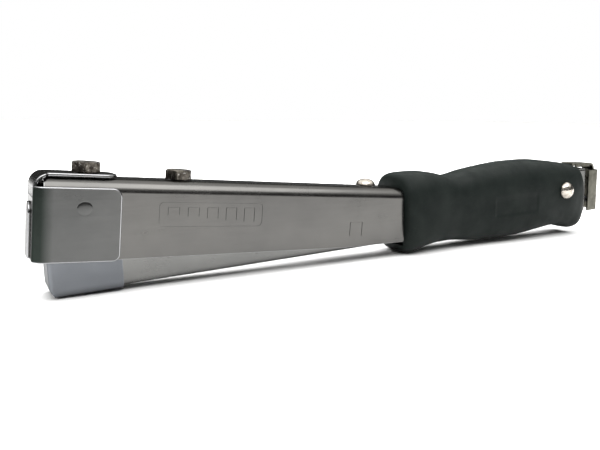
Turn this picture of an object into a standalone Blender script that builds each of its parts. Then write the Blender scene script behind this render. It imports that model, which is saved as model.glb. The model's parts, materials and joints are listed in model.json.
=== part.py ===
"""Hammer tacker: a stapling hammer with a swinging magazine, a fixed driver blade and a rear loader.

Run with blender --background --python part.py, or from Blender's text editor. Units are metres.

Two frames are used. The tool frame has X from the head's front face to the rear, Y from the near
side to the far side, and Z up from the housing's flat top. The magazine frame sits on the swing
pivot: u runs rearwards along the magazine, v is square to it and up. Everything hangs from one
empty, which tilts the tool until it stands on its nose and on the grip's front lip.
"""

import math

import bmesh
import bpy
from mathutils import Matrix, Vector

mm = 0.001

# Clearance that touching pieces keep, and the roundness of curved faces.
gap = 0.3 * mm
bend_steps = 4
round_steps = 24
blade_steps = 6

# Pivot of the magazine, and how far the nose reaches below the housing's top.
pivot_x = 273 * mm
nose_depth = 44.9 * mm
swing_range = math.radians(2.9)

# Housing: an inverted channel of bent sheet, with room inside for the frame and the magazine.
magazine_room = 0.55 * mm
housing_wall = 1.6 * mm
housing_bend = 5 * mm
housing_front = 3.4 * mm
housing_end_u = -110.6 * mm
housing_front_depth = 30.1 * mm
housing_mid_depth = 28 * mm
housing_rear_depth = 25.9 * mm
housing_mid_inset = 33 * mm

# Head cap: a sheet wrapped round the front, with a tongue bent over the top.
cap_wall = 1.35 * mm
cap_length = 30.1 * mm
cap_bend = 4 * mm
cap_top = -3 * mm
cap_bottom = -30.5 * mm
cap_top_corner = 3.5 * mm
cap_bottom_corner = 2.8 * mm
tongue_width = 16 * mm
tongue_length = 29.6 * mm
tongue_corner = 5 * mm
rib_width = 9 * mm
rib_height = 1 * mm
rib_top = -9.5 * mm
cap_rivet_x = 17 * mm
cap_rivet_z = -10.6 * mm
cap_rivet_radius = 2.75 * mm
cap_rivet_stand = 0.4 * mm

# Hexagon bolts through the top.
bolt_flats = 10 * mm
bolt_head = 4 * mm
bolt_chamfer = 0.6 * mm
bolt_radius = 3 * mm
front_bolt_x = 19 * mm
front_bolt_turn = math.radians(19.5)
rear_bolt_x = 54.7 * mm
rear_bolt_turn = math.radians(6.4)
nut_height = 5 * mm

# Driver: a block under the front bolt that clamps the blade's bent top.
blade_thickness = 1.2 * mm
blade_margin = 0.1 * mm
blade_setback = 6 * mm
blade_tip_lift = 1 * mm
blade_tab_length = 26 * mm
block_length = 23 * mm
block_width = 14 * mm
block_height = 6 * mm

# Bump stop, spring and its guide under the housing's web.
bump_room = 1.3 * mm
bump_length = 8 * mm
bump_width = 14.4 * mm
bump_drop = 0.6 * mm
return_spring_x = 85 * mm
return_spring_radius = 4.3 * mm
return_spring_wire = 1.4 * mm
return_spring_turns = 5
guide_pin_radius = 2.9 * mm
guide_pin_length = 7.5 * mm
guide_spigot_radius = 2 * mm

# Handle frame: an inverted channel inside the housing and the grip.
frame_wall = 1.2 * mm
frame_web_v = 7.95 * mm
frame_setback = 3 * mm
frame_depth = 22 * mm
frame_end_u = 14.5 * mm
frame_rear_v = -13 * mm
rivet_shank_radius = 2.5 * mm
rivet_dome_radius = 4.8 * mm
rivet_dome_height = 3.4 * mm
top_rivet_inset = 15.1 * mm
formed_head_radius = 4 * mm
formed_head_height = 1.5 * mm

# Magazine channel, its nose sleeve and its stop pin.
magazine_wall = 1.2 * mm
magazine_bend = 2.8 * mm
magazine_bottom_v = -17 * mm
blade_room = 0.9 * mm
magazine_end_u = 28.3 * mm
magazine_top_v = 0 * mm
magazine_rear_top_v = 10 * mm
magazine_rear_u = 17.6 * mm
rear_lip_width = 3 * mm
pivot_ear_v = 5 * mm
pivot_ear_u = 8 * mm
sleeve_wall = 0.9 * mm
sleeve_bend = 2.2 * mm
sleeve_front_wall = 1.1 * mm
sleeve_length = 26.3 * mm
sleeve_top_v = 1 * mm
sleeve_chamfer_v = -14.2 * mm
sleeve_chamfer_length = 1.8 * mm
slot_room = 0.4 * mm
stop_pin_x = 108 * mm
stop_pin_v = -0.2 * mm
stop_pin_radius = 2 * mm
stop_ear_v = 3 * mm
stop_ear_half = 6 * mm
spacer_radius = 4 * mm

# Staples, the rail that they ride on and the cover over them.
crown_width = 10.6 * mm
crown_room = 1 * mm
staple_wire = 0.6 * mm
staple_leg = 8 * mm
strip_length = 56 * mm
rail_height = 9.3 * mm
rail_wall = 0.9 * mm
rail_end_x = 153 * mm
cover_wall = 1.2 * mm
cover_end_x = 123 * mm
rail_rivet_radius = 1.5 * mm
rail_rivet_head = 2.6 * mm
rail_rivet_head_height = 0.5 * mm
rail_rivet_places = (41 * mm, 138 * mm)

# Loader: end cap, guide rod, pusher and its spring.
rod_radius = 1.5 * mm
rod_v = -10.4 * mm
rod_head_radius = 2.5 * mm
rod_head_length = 2 * mm
rod_collar_radius = 2.9 * mm
rod_collar_length = 1.5 * mm
rod_collar_x = 173 * mm
rod_stand = 0.8 * mm
rod_nut_flats = 5.5 * mm
rod_nut_height = 2.4 * mm
pusher_length = 14 * mm
pusher_crown = 0.7 * mm
pusher_core_v = -13.4 * mm
pusher_spring_radius = 2.55 * mm
pusher_spring_wire = 0.9 * mm
pusher_spring_turns = 14
endcap_wall = 1.2 * mm
endcap_margin = 1.5 * mm
endcap_bend = 3 * mm
endcap_front_u = 29.7 * mm
endcap_rear_u = 39.5 * mm
endcap_bottom_v = -15.7 * mm
endcap_top_v = 8.7 * mm

# Latch arm: a spring strip riveted to the end cap that hooks over the magazine's rear lips.
latch_wall = 1.2 * mm
latch_width = 8 * mm
latch_front_u = 20.6 * mm
latch_front_v = 13.6 * mm
latch_top_v = 12.2 * mm
latch_bend = 4 * mm
latch_rivet_v = 1 * mm
latch_rivet_radius = 1.5 * mm
latch_rivet_head = 2.4 * mm
latch_rivet_head_height = 0.8 * mm
latch_tail = 2 * mm
latch_lip_gap = 0.4 * mm

# Grip: rings along the handle, each with its top, bottom and half width.
grip_cavity_bottom_v = -18.6 * mm
grip_ring_power = 3.0
grip_ring_points = 32
grip_rings = 30
rear_notch_u = 15.5 * mm
rear_notch_room = 0.8 * mm
grip_stations = [
    (-110.2, 14.2, -20.6, 13.4),
    (-108.6, 15.9, -22.6, 15.2),
    (-104.0, 16.7, -23.6, 16.0),
    (-95.0, 16.7, -21.8, 15.8),
    (-86.0, 15.3, -20.9, 15.0),
    (-76.0, 12.9, -21.1, 14.2),
    (-60.0, 15.3, -23.1, 14.2),
    (-33.0, 17.7, -24.0, 15.8),
    (-14.0, 17.6, -22.5, 16.5),
    (0.0, 16.0, -21.7, 16.5),
    (9.0, 14.6, -23.4, 16.0),
    (16.0, 13.4, -25.1, 14.9),
    (20.0, 12.2, -24.2, 12.6),
]

# Values that follow from the ones above.
crown_half = crown_width / 2
magazine_inner = crown_half + crown_room
magazine_half = magazine_inner + magazine_wall
frame_inner = magazine_half + magazine_room
frame_half = frame_inner + frame_wall
housing_half = frame_half + gap + housing_wall
web_under = -housing_wall
frame_top = web_under - gap
frame_bend = housing_bend - housing_wall
sleeve_half = magazine_half + gap + sleeve_wall
sleeve_bottom_v = magazine_bottom_v - gap / 2 - sleeve_wall
blade_radius = pivot_x - blade_setback
magazine_front_u = blade_room - blade_radius
slot_front_u = -blade_radius - blade_thickness - slot_room
slot_half = magazine_inner - gap
sleeve_front_u = slot_front_u - sleeve_front_wall
sleeve_rear_u = sleeve_front_u + sleeve_length
nose_run = housing_end_u - magazine_front_u
nose_rise = frame_web_v - sleeve_bottom_v
slope = math.asin((nose_depth + frame_top) / math.hypot(nose_run, nose_rise))
slope -= math.atan2(nose_rise, nose_run)
pivot_z = frame_top - housing_end_u * math.sin(slope) - frame_web_v * math.cos(slope)
stop_pin_u = stop_pin_x - pivot_x
rail_end_u = rail_end_x - pivot_x
cover_end_u = cover_end_x - pivot_x
rod_collar_u = rod_collar_x - pivot_x
cap_half = housing_half + gap + cap_wall
tongue_under = gap
tongue_top = tongue_under + cap_wall
blade_half = crown_half + blade_margin
endcap_half = magazine_half + endcap_margin
rail_half = crown_half - staple_wire - gap
rail_bottom_v = magazine_bottom_v + magazine_wall + gap
rail_top_v = rail_bottom_v + rail_height
crown_under_v = rail_top_v + gap
crown_top_v = crown_under_v + staple_wire
leg_bottom_v = crown_top_v - staple_leg
cover_under_v = crown_top_v + 0.4 * mm
cover_top_v = cover_under_v + cover_wall
strip_front_u = magazine_front_u + gap
strip_end_u = strip_front_u + strip_length
pusher_front_u = strip_end_u + gap
pusher_end_u = pusher_front_u + pusher_length
hole_radius = rivet_shank_radius + gap


def to_tool(u, v):
    """The tool-frame (X, Z) of a point given in the magazine frame."""
    x = pivot_x + u * math.cos(slope) - v * math.sin(slope)
    return x, pivot_z + u * math.sin(slope) + v * math.cos(slope)


def to_magazine(x, z):
    """The magazine-frame (u, v) of a point given in the tool frame."""
    dx, dz = x - pivot_x, z - pivot_z
    return (
        dx * math.cos(slope) + dz * math.sin(slope),
        dz * math.cos(slope) - dx * math.sin(slope),
    )


def clear_scene():
    for obj in list(bpy.data.objects):
        bpy.data.objects.remove(obj, do_unlink=True)


def make_empty(name, parent, place, turn):
    empty = bpy.data.objects.new(name, None)
    empty.empty_display_size = 10 * mm
    empty.parent = parent
    empty.location = place
    empty.rotation_euler = turn
    bpy.context.scene.collection.objects.link(empty)
    return empty


def make_object(name, bm, parent, smooth=None):
    """A mesh object from a bmesh, its faces turned outwards; round ones are shaded smooth."""
    bmesh.ops.recalc_face_normals(bm, faces=bm.faces)
    mesh = bpy.data.meshes.new(name)
    bm.to_mesh(mesh)
    bm.free()
    obj = bpy.data.objects.new(name, mesh)
    obj.parent = parent
    bpy.context.scene.collection.objects.link(obj)
    if smooth:
        mesh.shade_smooth()
        mesh.set_sharp_from_angle(angle=math.radians(smooth))
    return obj


def paint(obj, colour, metallic, roughness):
    material = bpy.data.materials.new(obj.name)
    material.use_nodes = True
    shader = material.node_tree.nodes["Principled BSDF"]
    shader.inputs["Base Color"].default_value = (*colour, 1)
    shader.inputs["Metallic"].default_value = metallic
    shader.inputs["Roughness"].default_value = roughness
    obj.data.materials.clear()
    obj.data.materials.append(material)
    return obj


def chrome(obj):
    return paint(obj, (0.56, 0.56, 0.55), 1, 0.14)


def zinc(obj):
    return paint(obj, (0.5, 0.53, 0.58), 1, 0.3)


def tool_steel(obj):
    return paint(obj, (0.3, 0.3, 0.31), 1, 0.35)


def dark_steel(obj):
    return paint(obj, (0.12, 0.105, 0.09), 1, 0.4)


def nickel(obj):
    return paint(obj, (0.66, 0.62, 0.57), 1, 0.2)


def dull_nickel(obj):
    return paint(obj, (0.2, 0.195, 0.17), 1, 0.42)


def rubber(obj):
    return paint(obj, (0.012, 0.015, 0.014), 0, 0.55)


def rounded(corners):
    """An outline through (a, b, radius) corners, with a true arc at each corner that has a radius."""
    points = []
    count = len(corners)
    for index, (a, b, radius) in enumerate(corners):
        here = Vector((a, b))
        if radius <= 0:
            points.append(here)
            continue
        before = Vector(corners[index - 1][:2]) - here
        after = Vector(corners[(index + 1) % count][:2]) - here
        half = before.angle(after) / 2
        cut = radius / math.tan(half)
        middle = here + (before.normalized() + after.normalized()).normalized() * (radius / math.sin(half))
        start = here + before.normalized() * cut - middle
        sweep = start.angle_signed(here + after.normalized() * cut - middle)
        for step in range(bend_steps + 1):
            turn = -sweep * step / bend_steps
            points.append(middle + Matrix.Rotation(turn, 2) @ start)
    return points


def prism(name, outline, axis, low, high, parent, smooth=None):
    """An outline pushed from low to high along an axis; the outline lies in the other two, in order."""
    bm = bmesh.new()

    def place(point, along):
        if axis == "x":
            return (along, point[0], point[1])
        if axis == "y":
            return (point[0], along, point[1])
        return (point[0], point[1], along)

    ring = [bm.verts.new(place(point, low)) for point in outline]
    face = bm.faces.new(ring)
    pushed = bmesh.ops.extrude_face_region(bm, geom=[face])
    moved = [item for item in pushed["geom"] if isinstance(item, bmesh.types.BMVert)]
    shift = Vector(place((0, 0), high)) - Vector(place((0, 0), low))
    bmesh.ops.translate(bm, vec=shift, verts=moved)
    return make_object(name, bm, parent, smooth)


def round_edges(obj, places, width):
    """Rounds the edges of a prism along Y that run between the given (x, z) places."""
    bm = bmesh.new()
    bm.from_mesh(obj.data)
    near = 1e-6
    chosen = []
    for edge in bm.edges:
        one, two = edge.verts
        on_places = all(any(math.dist((v.co.x, v.co.z), place) < near for place in places) for v in edge.verts)
        if on_places and abs(one.co.y - two.co.y) < near:
            chosen.append(edge)
    bmesh.ops.bevel(bm, geom=chosen, offset=width, segments=3, profile=0.5, affect="EDGES")
    bm.to_mesh(obj.data)
    bm.free()


def box(name, low, high, parent):
    outline = [(low[0], low[1]), (high[0], low[1]), (high[0], high[1]), (low[0], high[1])]
    return prism(name, outline, "z", low[2], high[2], parent)


def lathe(name, profile, axis, place, parent, smooth=40):
    """A closed turned body: (radius, along) pairs from one end to the other, about an axis."""
    bm = bmesh.new()
    rings = []
    for radius, along in profile:
        if radius <= 0:
            rings.append([bm.verts.new((0, 0, along))])
            continue
        angles = [math.tau * step / round_steps for step in range(round_steps)]
        rings.append([bm.verts.new((radius * math.cos(a), radius * math.sin(a), along)) for a in angles])
    for one, two in zip(rings, rings[1:], strict=False):
        for step in range(round_steps):
            after = (step + 1) % round_steps
            if len(one) == 1:
                bm.faces.new((one[0], two[step], two[after]))
            elif len(two) == 1:
                bm.faces.new((one[step], one[after], two[0]))
            else:
                bm.faces.new((one[step], one[after], two[after], two[step]))
    for ring in (rings[0], rings[-1]):
        if len(ring) > 1:
            bm.faces.new(ring)
    turns = {"x": Matrix.Rotation(math.pi / 2, 4, "Y"), "y": Matrix.Rotation(-math.pi / 2, 4, "X")}
    bmesh.ops.transform(bm, matrix=turns.get(axis, Matrix()), verts=bm.verts)
    bmesh.ops.translate(bm, vec=place, verts=bm.verts)
    return make_object(name, bm, parent, smooth)


def rod(name, radius, axis, place, low, high, parent):
    return lathe(name, [(radius, low), (radius, high)], axis, place, parent)


def hexagon(flats, turn, point_angle):
    """How far the hexagon's edge lies from its centre at an angle."""
    inside = (point_angle - turn) % (math.pi / 3) - math.pi / 6
    return flats / 2 / math.cos(inside)


def hex_body(name, rings, hole, turn, axis, place, parent):
    """A body of round and six-sided rings, each (shape, size, height); a hole makes it a nut."""
    bm = bmesh.new()
    angles = [math.tau * step / round_steps + turn for step in range(round_steps)]
    loops = []
    for shape, size, height in rings:
        loop = []
        for angle in angles:
            reach = hexagon(size, turn, angle) if shape == "hex" else size
            loop.append(bm.verts.new((reach * math.cos(angle), reach * math.sin(angle), height)))
        loops.append(loop)
    if hole:
        for height in (rings[-1][2], rings[0][2]):
            loops.append([bm.verts.new((hole * math.cos(a), hole * math.sin(a), height)) for a in angles])
        loops.append(loops[0])
    for one, two in zip(loops, loops[1:], strict=False):
        for step in range(round_steps):
            after = (step + 1) % round_steps
            bm.faces.new((one[step], one[after], two[after], two[step]))
    if not hole:
        bm.faces.new(loops[0])
        bm.faces.new(loops[-1])
    if axis == "x":
        bmesh.ops.transform(bm, matrix=Matrix.Rotation(math.pi / 2, 4, "Y"), verts=bm.verts)
    bmesh.ops.translate(bm, vec=place, verts=bm.verts)
    return make_object(name, bm, parent, 30)


def combine(obj, tool, operation):
    """A Boolean with a hidden tool body."""
    tool.hide_render = True
    tool.display_type = "WIRE"
    step = obj.modifiers.new(f"{operation.lower()} {tool.name}", "BOOLEAN")
    step.object = tool
    step.operation = operation
    step.solver = "EXACT"
    return obj


def cut_hole(obj, radius, axis, place, low, high):
    tool = rod(f"{obj.name}_hole", radius, axis, place, low, high, obj.parent)
    return combine(obj, tool, "DIFFERENCE")


def coil(name, radius, wire, turns, low, high, axis, place, parent):
    """A compression spring as a curve with round ends closed by caps."""
    curve = bpy.data.curves.new(name, "CURVE")
    curve.dimensions = "3D"
    curve.bevel_depth = wire / 2
    curve.bevel_resolution = 1
    curve.use_fill_caps = True
    steps = turns * 12
    spline = curve.splines.new("POLY")
    spline.points.add(steps)
    start, end = low + wire / 2, high - wire / 2
    for step in range(steps + 1):
        angle = math.tau * turns * step / steps
        along = start + (end - start) * step / steps
        across = (radius * math.cos(angle), radius * math.sin(angle))
        spot = (*across, along) if axis == "z" else (along, *across)
        spline.points[step].co = (*(Vector(spot) + Vector(place)), 1)
    obj = bpy.data.objects.new(name, curve)
    obj.parent = parent
    bpy.context.scene.collection.objects.link(obj)
    return obj


def channel_section(half, wall, bend, open_edge, web):
    """Cross-section of a bent channel: (across, height) points; the web is opposite the open edge."""
    way = 1 if web > open_edge else -1
    outer = [(-half, open_edge, 0), (-half, web, bend), (half, web, bend), (half, open_edge, 0)]
    inner_bend = max(bend - wall, 0.2 * mm)
    inner_web = web - way * wall
    inner = [
        (half - wall, open_edge, 0),
        (half - wall, inner_web, inner_bend),
        (wall - half, inner_web, inner_bend),
        (wall - half, open_edge, 0),
    ]
    return rounded(outer + inner)


def dome_profile(radius, height, base, way):
    """Points of a domed head from its rim to its crown; way is +1 or -1 along the axis."""
    ball = (radius**2 + height**2) / (2 * height)
    spread = math.asin(radius / ball)
    points = []
    for step in range(6):
        angle = spread * (1 - step / 5)
        rise = ball * math.cos(angle) - (ball - height)
        points.append((ball * math.sin(angle), base + way * rise))
    points[-1] = (0, base + way * height)
    return points


def housing_end(z):
    """X of the housing's slanted rear cut at a height."""
    u, v = housing_end_u, (z - pivot_z - housing_end_u * math.sin(slope)) / math.cos(slope)
    return to_tool(u, v)[0]


def top_rivet_x():
    return housing_end(0) - top_rivet_inset


def make_housing(tool):
    section = channel_section(housing_half, housing_wall, housing_bend, -40 * mm, 0)
    shell = prism("housing_shell", section, "x", housing_front, housing_end(-housing_rear_depth) + 5 * mm, tool, 30)
    outline = rounded([
        (housing_front - gap, 2 * mm, 0),
        (housing_end(2 * mm), 2 * mm, 0),
        (housing_end(-housing_rear_depth), -housing_rear_depth, 1.2 * mm),
        (housing_end(-housing_rear_depth) - housing_mid_inset, -housing_mid_depth, 0),
        (cap_length, -housing_front_depth, 0),
        (housing_front - gap, -housing_front_depth, 0),
    ])
    trim = prism("housing_outline", outline, "y", -20 * mm, 20 * mm, tool)
    combine(shell, trim, "INTERSECT")
    for x, radius in (
        (front_bolt_x, bolt_radius + gap),
        (rear_bolt_x, bolt_radius + gap),
        (top_rivet_x(), hole_radius),
    ):
        cut_hole(shell, radius, "z", (x, 0, 0), -5 * mm, 5 * mm)
    side_hole = (cap_rivet_x, 0, cap_rivet_z)
    cut_hole(shell, cap_rivet_radius + gap, "y", side_hole, -20 * mm, 20 * mm)
    return chrome(shell)


def make_cap(tool):
    plan = rounded([
        (cap_length + 2 * mm, -cap_half, 0),
        (0, -cap_half, cap_bend),
        (0, cap_half, cap_bend),
        (cap_length + 2 * mm, cap_half, 0),
        (cap_length + 2 * mm, cap_half - cap_wall, 0),
        (cap_wall, cap_half - cap_wall, cap_bend - cap_wall),
        (cap_wall, cap_wall - cap_half, cap_bend - cap_wall),
        (cap_length + 2 * mm, cap_wall - cap_half, 0),
    ])
    cap = prism("head_cap", plan, "z", cap_bottom, cap_top, tool, 30)
    outline = rounded([
        (-2 * mm, cap_bottom - 2 * mm, 0),
        (-2 * mm, cap_top + 2 * mm, 0),
        (cap_length - cap_top_corner - 1 * mm, cap_top + 2 * mm, 0),
        (cap_length - cap_top_corner - 1 * mm, cap_top, 0),
        (cap_length, cap_top, cap_top_corner),
        (cap_length, cap_bottom, cap_bottom_corner),
        (cap_length - cap_bottom_corner - 1 * mm, cap_bottom, 0),
        (cap_length - cap_bottom_corner - 1 * mm, cap_bottom - 2 * mm, 0),
    ])
    combine(cap, prism("cap_outline", outline, "y", -20 * mm, 20 * mm, tool), "INTERSECT")
    strip = rounded([
        (0, cap_top - 4 * mm, 0),
        (0, tongue_top, cap_bend),
        (tongue_length, tongue_top, 0),
        (tongue_length, tongue_under, 0),
        (cap_wall, tongue_under, cap_bend - cap_wall),
        (cap_wall, cap_top - 4 * mm, 0),
    ])
    tongue_half = tongue_width / 2
    tongue = prism("cap_tongue", strip, "y", -tongue_half, tongue_half, tool)
    plan_trim = rounded([
        (-2 * mm, -tongue_half - 1 * mm, 0),
        (-2 * mm, tongue_half + 1 * mm, 0),
        (tongue_length - tongue_corner - 1 * mm, tongue_half + 1 * mm, 0),
        (tongue_length - tongue_corner - 1 * mm, tongue_half, 0),
        (tongue_length, tongue_half, tongue_corner),
        (tongue_length, -tongue_half, tongue_corner),
        (tongue_length - tongue_corner - 1 * mm, -tongue_half, 0),
        (tongue_length - tongue_corner - 1 * mm, -tongue_half - 1 * mm, 0),
    ])
    combine(tongue, prism("tongue_plan", plan_trim, "z", -10 * mm, 10 * mm, tool), "INTERSECT")
    combine(cap, tongue, "UNION")
    rib_half = rib_width / 2
    rib = rounded([
        (-rib_half, cap_bottom + 0.2 * mm, 0),
        (-rib_half, rib_top, rib_half * 0.9),
        (rib_half, rib_top, rib_half * 0.9),
        (rib_half, cap_bottom + 0.2 * mm, 0),
    ])
    combine(cap, prism("cap_rib", rib, "x", -rib_height, cap_wall / 2, tool), "UNION")
    cut_hole(cap, bolt_radius + gap, "z", (front_bolt_x, 0, 0), -1 * mm, 4 * mm)
    side_hole = (cap_rivet_x, 0, cap_rivet_z)
    cut_hole(cap, cap_rivet_radius + gap, "y", side_hole, -20 * mm, 20 * mm)
    chrome(cap)
    for side, way in (("near", -1), ("far", 1)):
        inner, outer = frame_half, cap_half + cap_rivet_stand
        ends = sorted((way * inner, way * outer))
        nickel(rod(f"cap_rivet_{side}", cap_rivet_radius, "y", side_hole, ends[0], ends[1], tool))


def make_bolts(tool):
    thread_end = frame_top - blade_thickness - gap - block_height
    for name, x, seat, turn, end in (
        ("front_bolt", front_bolt_x, tongue_top + gap, front_bolt_turn, thread_end),
        ("rear_bolt", rear_bolt_x, gap, rear_bolt_turn, frame_top - frame_wall - gap - nut_height - 1 * mm),
    ):
        rings = [
            ("round", bolt_radius, end),
            ("round", bolt_radius, seat),
            ("hex", bolt_flats, seat),
            ("hex", bolt_flats, seat + bolt_head - bolt_chamfer),
            ("hex", bolt_flats - 2 * bolt_chamfer, seat + bolt_head),
        ]
        dark_steel(hex_body(name, rings, 0, turn, "z", (x, 0, 0), tool))
    nut_top = frame_top - frame_wall - gap
    rings = [("hex", bolt_flats, nut_top - nut_height), ("hex", bolt_flats, nut_top)]
    nut = hex_body("rear_nut", rings, bolt_radius + gap, 0, "z", (rear_bolt_x, 0, 0), tool)
    dark_steel(nut)


def block_front():
    """X of the driver block's front, just behind the blade's tip."""
    v = crown_top_v + blade_tip_lift
    return to_tool(-math.sqrt(blade_radius**2 - v**2), v)[0] + 2 * gap


def bump_front():
    return block_front() + block_length + bump_room


def make_driver(tool):
    """The blade follows an arc about the pivot, so the magazine can swing past it."""
    tip_v = crown_top_v + blade_tip_lift
    tip_angle = math.atan2(tip_v, -math.sqrt(blade_radius**2 - tip_v**2)) + slope
    top_z = frame_top - blade_thickness - pivot_z
    top_angle = math.atan2(top_z, -math.sqrt(blade_radius**2 - top_z**2))
    outline = []
    sides = ((blade_radius + blade_thickness, tip_angle, top_angle), (blade_radius, top_angle, tip_angle))
    for radius, start, end in sides:
        sweep = (end - start + math.pi) % math.tau - math.pi
        for step in range(blade_steps + 1):
            angle = start + sweep * step / blade_steps
            outline.append((pivot_x + radius * math.cos(angle), pivot_z + radius * math.sin(angle)))
        if radius > blade_radius:
            outline.append((outline[-1][0], frame_top))
            outline.append((blade_tab_length, frame_top))
            outline.append((blade_tab_length, frame_top - blade_thickness))
    blade = prism("driver_blade", outline, "y", -blade_half, blade_half, tool, 30)
    cut_hole(blade, bolt_radius + gap, "z", (front_bolt_x, 0, 0), -6 * mm, 0)
    tool_steel(blade)
    top = frame_top - blade_thickness - gap
    start = block_front()
    low = (start, -block_width / 2, top - block_height)
    block = box("driver_block", low, (start + block_length, block_width / 2, top), tool)
    cut_hole(block, bolt_radius + gap, "z", (front_bolt_x, 0, 0), -20 * mm, 0)
    tool_steel(block)


def magazine_top_at(x):
    """Tool-frame height of the channel's top edge at rest, and after the full swing."""
    u, v = to_magazine(x, 0)
    rest = to_tool(u, magazine_top_v)[1]
    return rest, rest - u * math.sin(swing_range)


def make_inner_stops(tool):
    top = web_under - bump_drop
    start, end = bump_front(), bump_front() + bump_length
    low_z = magazine_top_at((start + end) / 2)[1] + gap
    half = bump_width / 2
    rubber(box("bump_stop", (start, -half, low_z), (end, half, top), tool))
    seat = frame_top - frame_wall - gap
    profile = [
        (guide_pin_radius - 0.6 * mm, seat - guide_pin_length),
        (guide_pin_radius, seat - guide_pin_length + 0.6 * mm),
        (guide_pin_radius, seat),
        (guide_spigot_radius, seat),
        (guide_spigot_radius, frame_top),
    ]
    tool_steel(lathe("spring_guide", profile, "z", (return_spring_x, 0, 0), tool))
    u = to_magazine(return_spring_x, 0)[0]
    lowest = to_tool(u + return_spring_radius + return_spring_wire, cover_top_v)[1] + gap
    spring = coil(
        "return_spring",
        return_spring_radius,
        return_spring_wire,
        return_spring_turns,
        lowest,
        seat,
        "z",
        (return_spring_x, 0, 0),
        tool,
    )
    tool_steel(spring)


def make_frame(tool):
    frame_front = bump_front() + bump_length + frame_setback
    kink_x = housing_end(frame_top) + gap
    web_v = to_magazine(kink_x, frame_top)[1]
    outer = [
        (frame_front, frame_top),
        (kink_x, frame_top),
        to_tool(frame_end_u, web_v),
        to_tool(frame_end_u, frame_rear_v),
        (kink_x, -frame_depth),
        (frame_front, -frame_depth),
    ]
    frame = prism("handle_frame", outer, "y", -frame_half, frame_half, tool)
    round_edges(frame, outer[:3], frame_bend)
    hollow = [
        (frame_front - 5 * mm, frame_top - frame_wall),
        (kink_x, frame_top - frame_wall),
        to_tool(frame_end_u + 5 * mm, web_v - frame_wall),
        to_tool(frame_end_u + 5 * mm, -40 * mm),
        (frame_front - 5 * mm, -60 * mm),
    ]
    inside = prism("frame_hollow", hollow, "y", -frame_inner, frame_inner, tool)
    round_edges(inside, hollow[:3], frame_bend - frame_wall)
    combine(frame, inside, "DIFFERENCE")
    for x, radius in (
        (rear_bolt_x, bolt_radius + gap),
        (return_spring_x, guide_spigot_radius + gap),
        (top_rivet_x(), hole_radius),
    ):
        cut_hole(frame, radius, "z", (x, 0, 0), -6 * mm, 0)
    cut_hole(frame, hole_radius, "y", (pivot_x, 0, pivot_z), -12 * mm, 12 * mm)
    pin_x, pin_z = to_tool(stop_pin_u, stop_pin_v)
    rise = -stop_pin_u * math.sin(swing_range)
    reach = stop_pin_radius + gap
    slack = (pivot_z - pin_z) * math.sin(swing_range)
    slot = rounded([
        (pin_x - slack - reach, pin_z - reach, reach * 0.9),
        (pin_x - slack - reach, pin_z + rise + reach, reach * 0.9),
        (pin_x + reach, pin_z + rise + reach, reach * 0.9),
        (pin_x + reach, pin_z - reach, reach * 0.9),
    ])
    combine(frame, prism("frame_slot", slot, "y", -12 * mm, 12 * mm, tool), "DIFFERENCE")
    zinc(frame)
    under = frame_top - frame_wall - gap
    profile = [
        (formed_head_radius, under - formed_head_height),
        (formed_head_radius, under),
        (rivet_shank_radius, under),
        (rivet_shank_radius, gap),
        *dome_profile(rivet_dome_radius, rivet_dome_height, gap, 1),
    ]
    nickel(lathe("top_rivet", profile, "z", (top_rivet_x(), 0, 0), tool))
    return web_v


def smooth_stations(rows, count):
    """Rows read at even steps along a smooth curve through them."""
    places = [row[0] for row in rows]
    slopes = []
    for index in range(len(rows)):
        one, two = max(index - 1, 0), min(index + 1, len(rows) - 1)
        run = places[two] - places[one]
        slopes.append([(b - a) / run for a, b in zip(rows[one], rows[two], strict=True)])
    found = []
    for row, after, m0, m1 in zip(rows, rows[1:], slopes, slopes[1:], strict=False):
        run = after[0] - row[0]
        steps = max(1, round(count * run / (places[-1] - places[0])))
        for step in range(steps):
            t = step / steps
            curve = []
            for a, b, s0, s1 in zip(row, after, m0, m1, strict=True):
                h0, h1 = 2 * t**3 - 3 * t**2 + 1, 3 * t**2 - 2 * t**3
                h2, h3 = t**3 - 2 * t**2 + t, t**3 - t**2
                curve.append(h0 * a + h1 * b + run * (h2 * s0 + h3 * s1))
            found.append(curve)
    return [*found, list(rows[-1])]


def ring_points(top, bottom, half):
    """A rounded section: a superellipse, in (across, height)."""
    middle, tall = (top + bottom) / 2, (top - bottom) / 2
    power = 2 / grip_ring_power
    points = []
    for step in range(grip_ring_points):
        angle = math.tau * (step + 0.5) / grip_ring_points
        c, s = math.cos(angle), math.sin(angle)
        across = math.copysign(abs(c) ** power, c) * half
        points.append((across, middle + math.copysign(abs(s) ** power, s) * tall))
    return points


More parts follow.
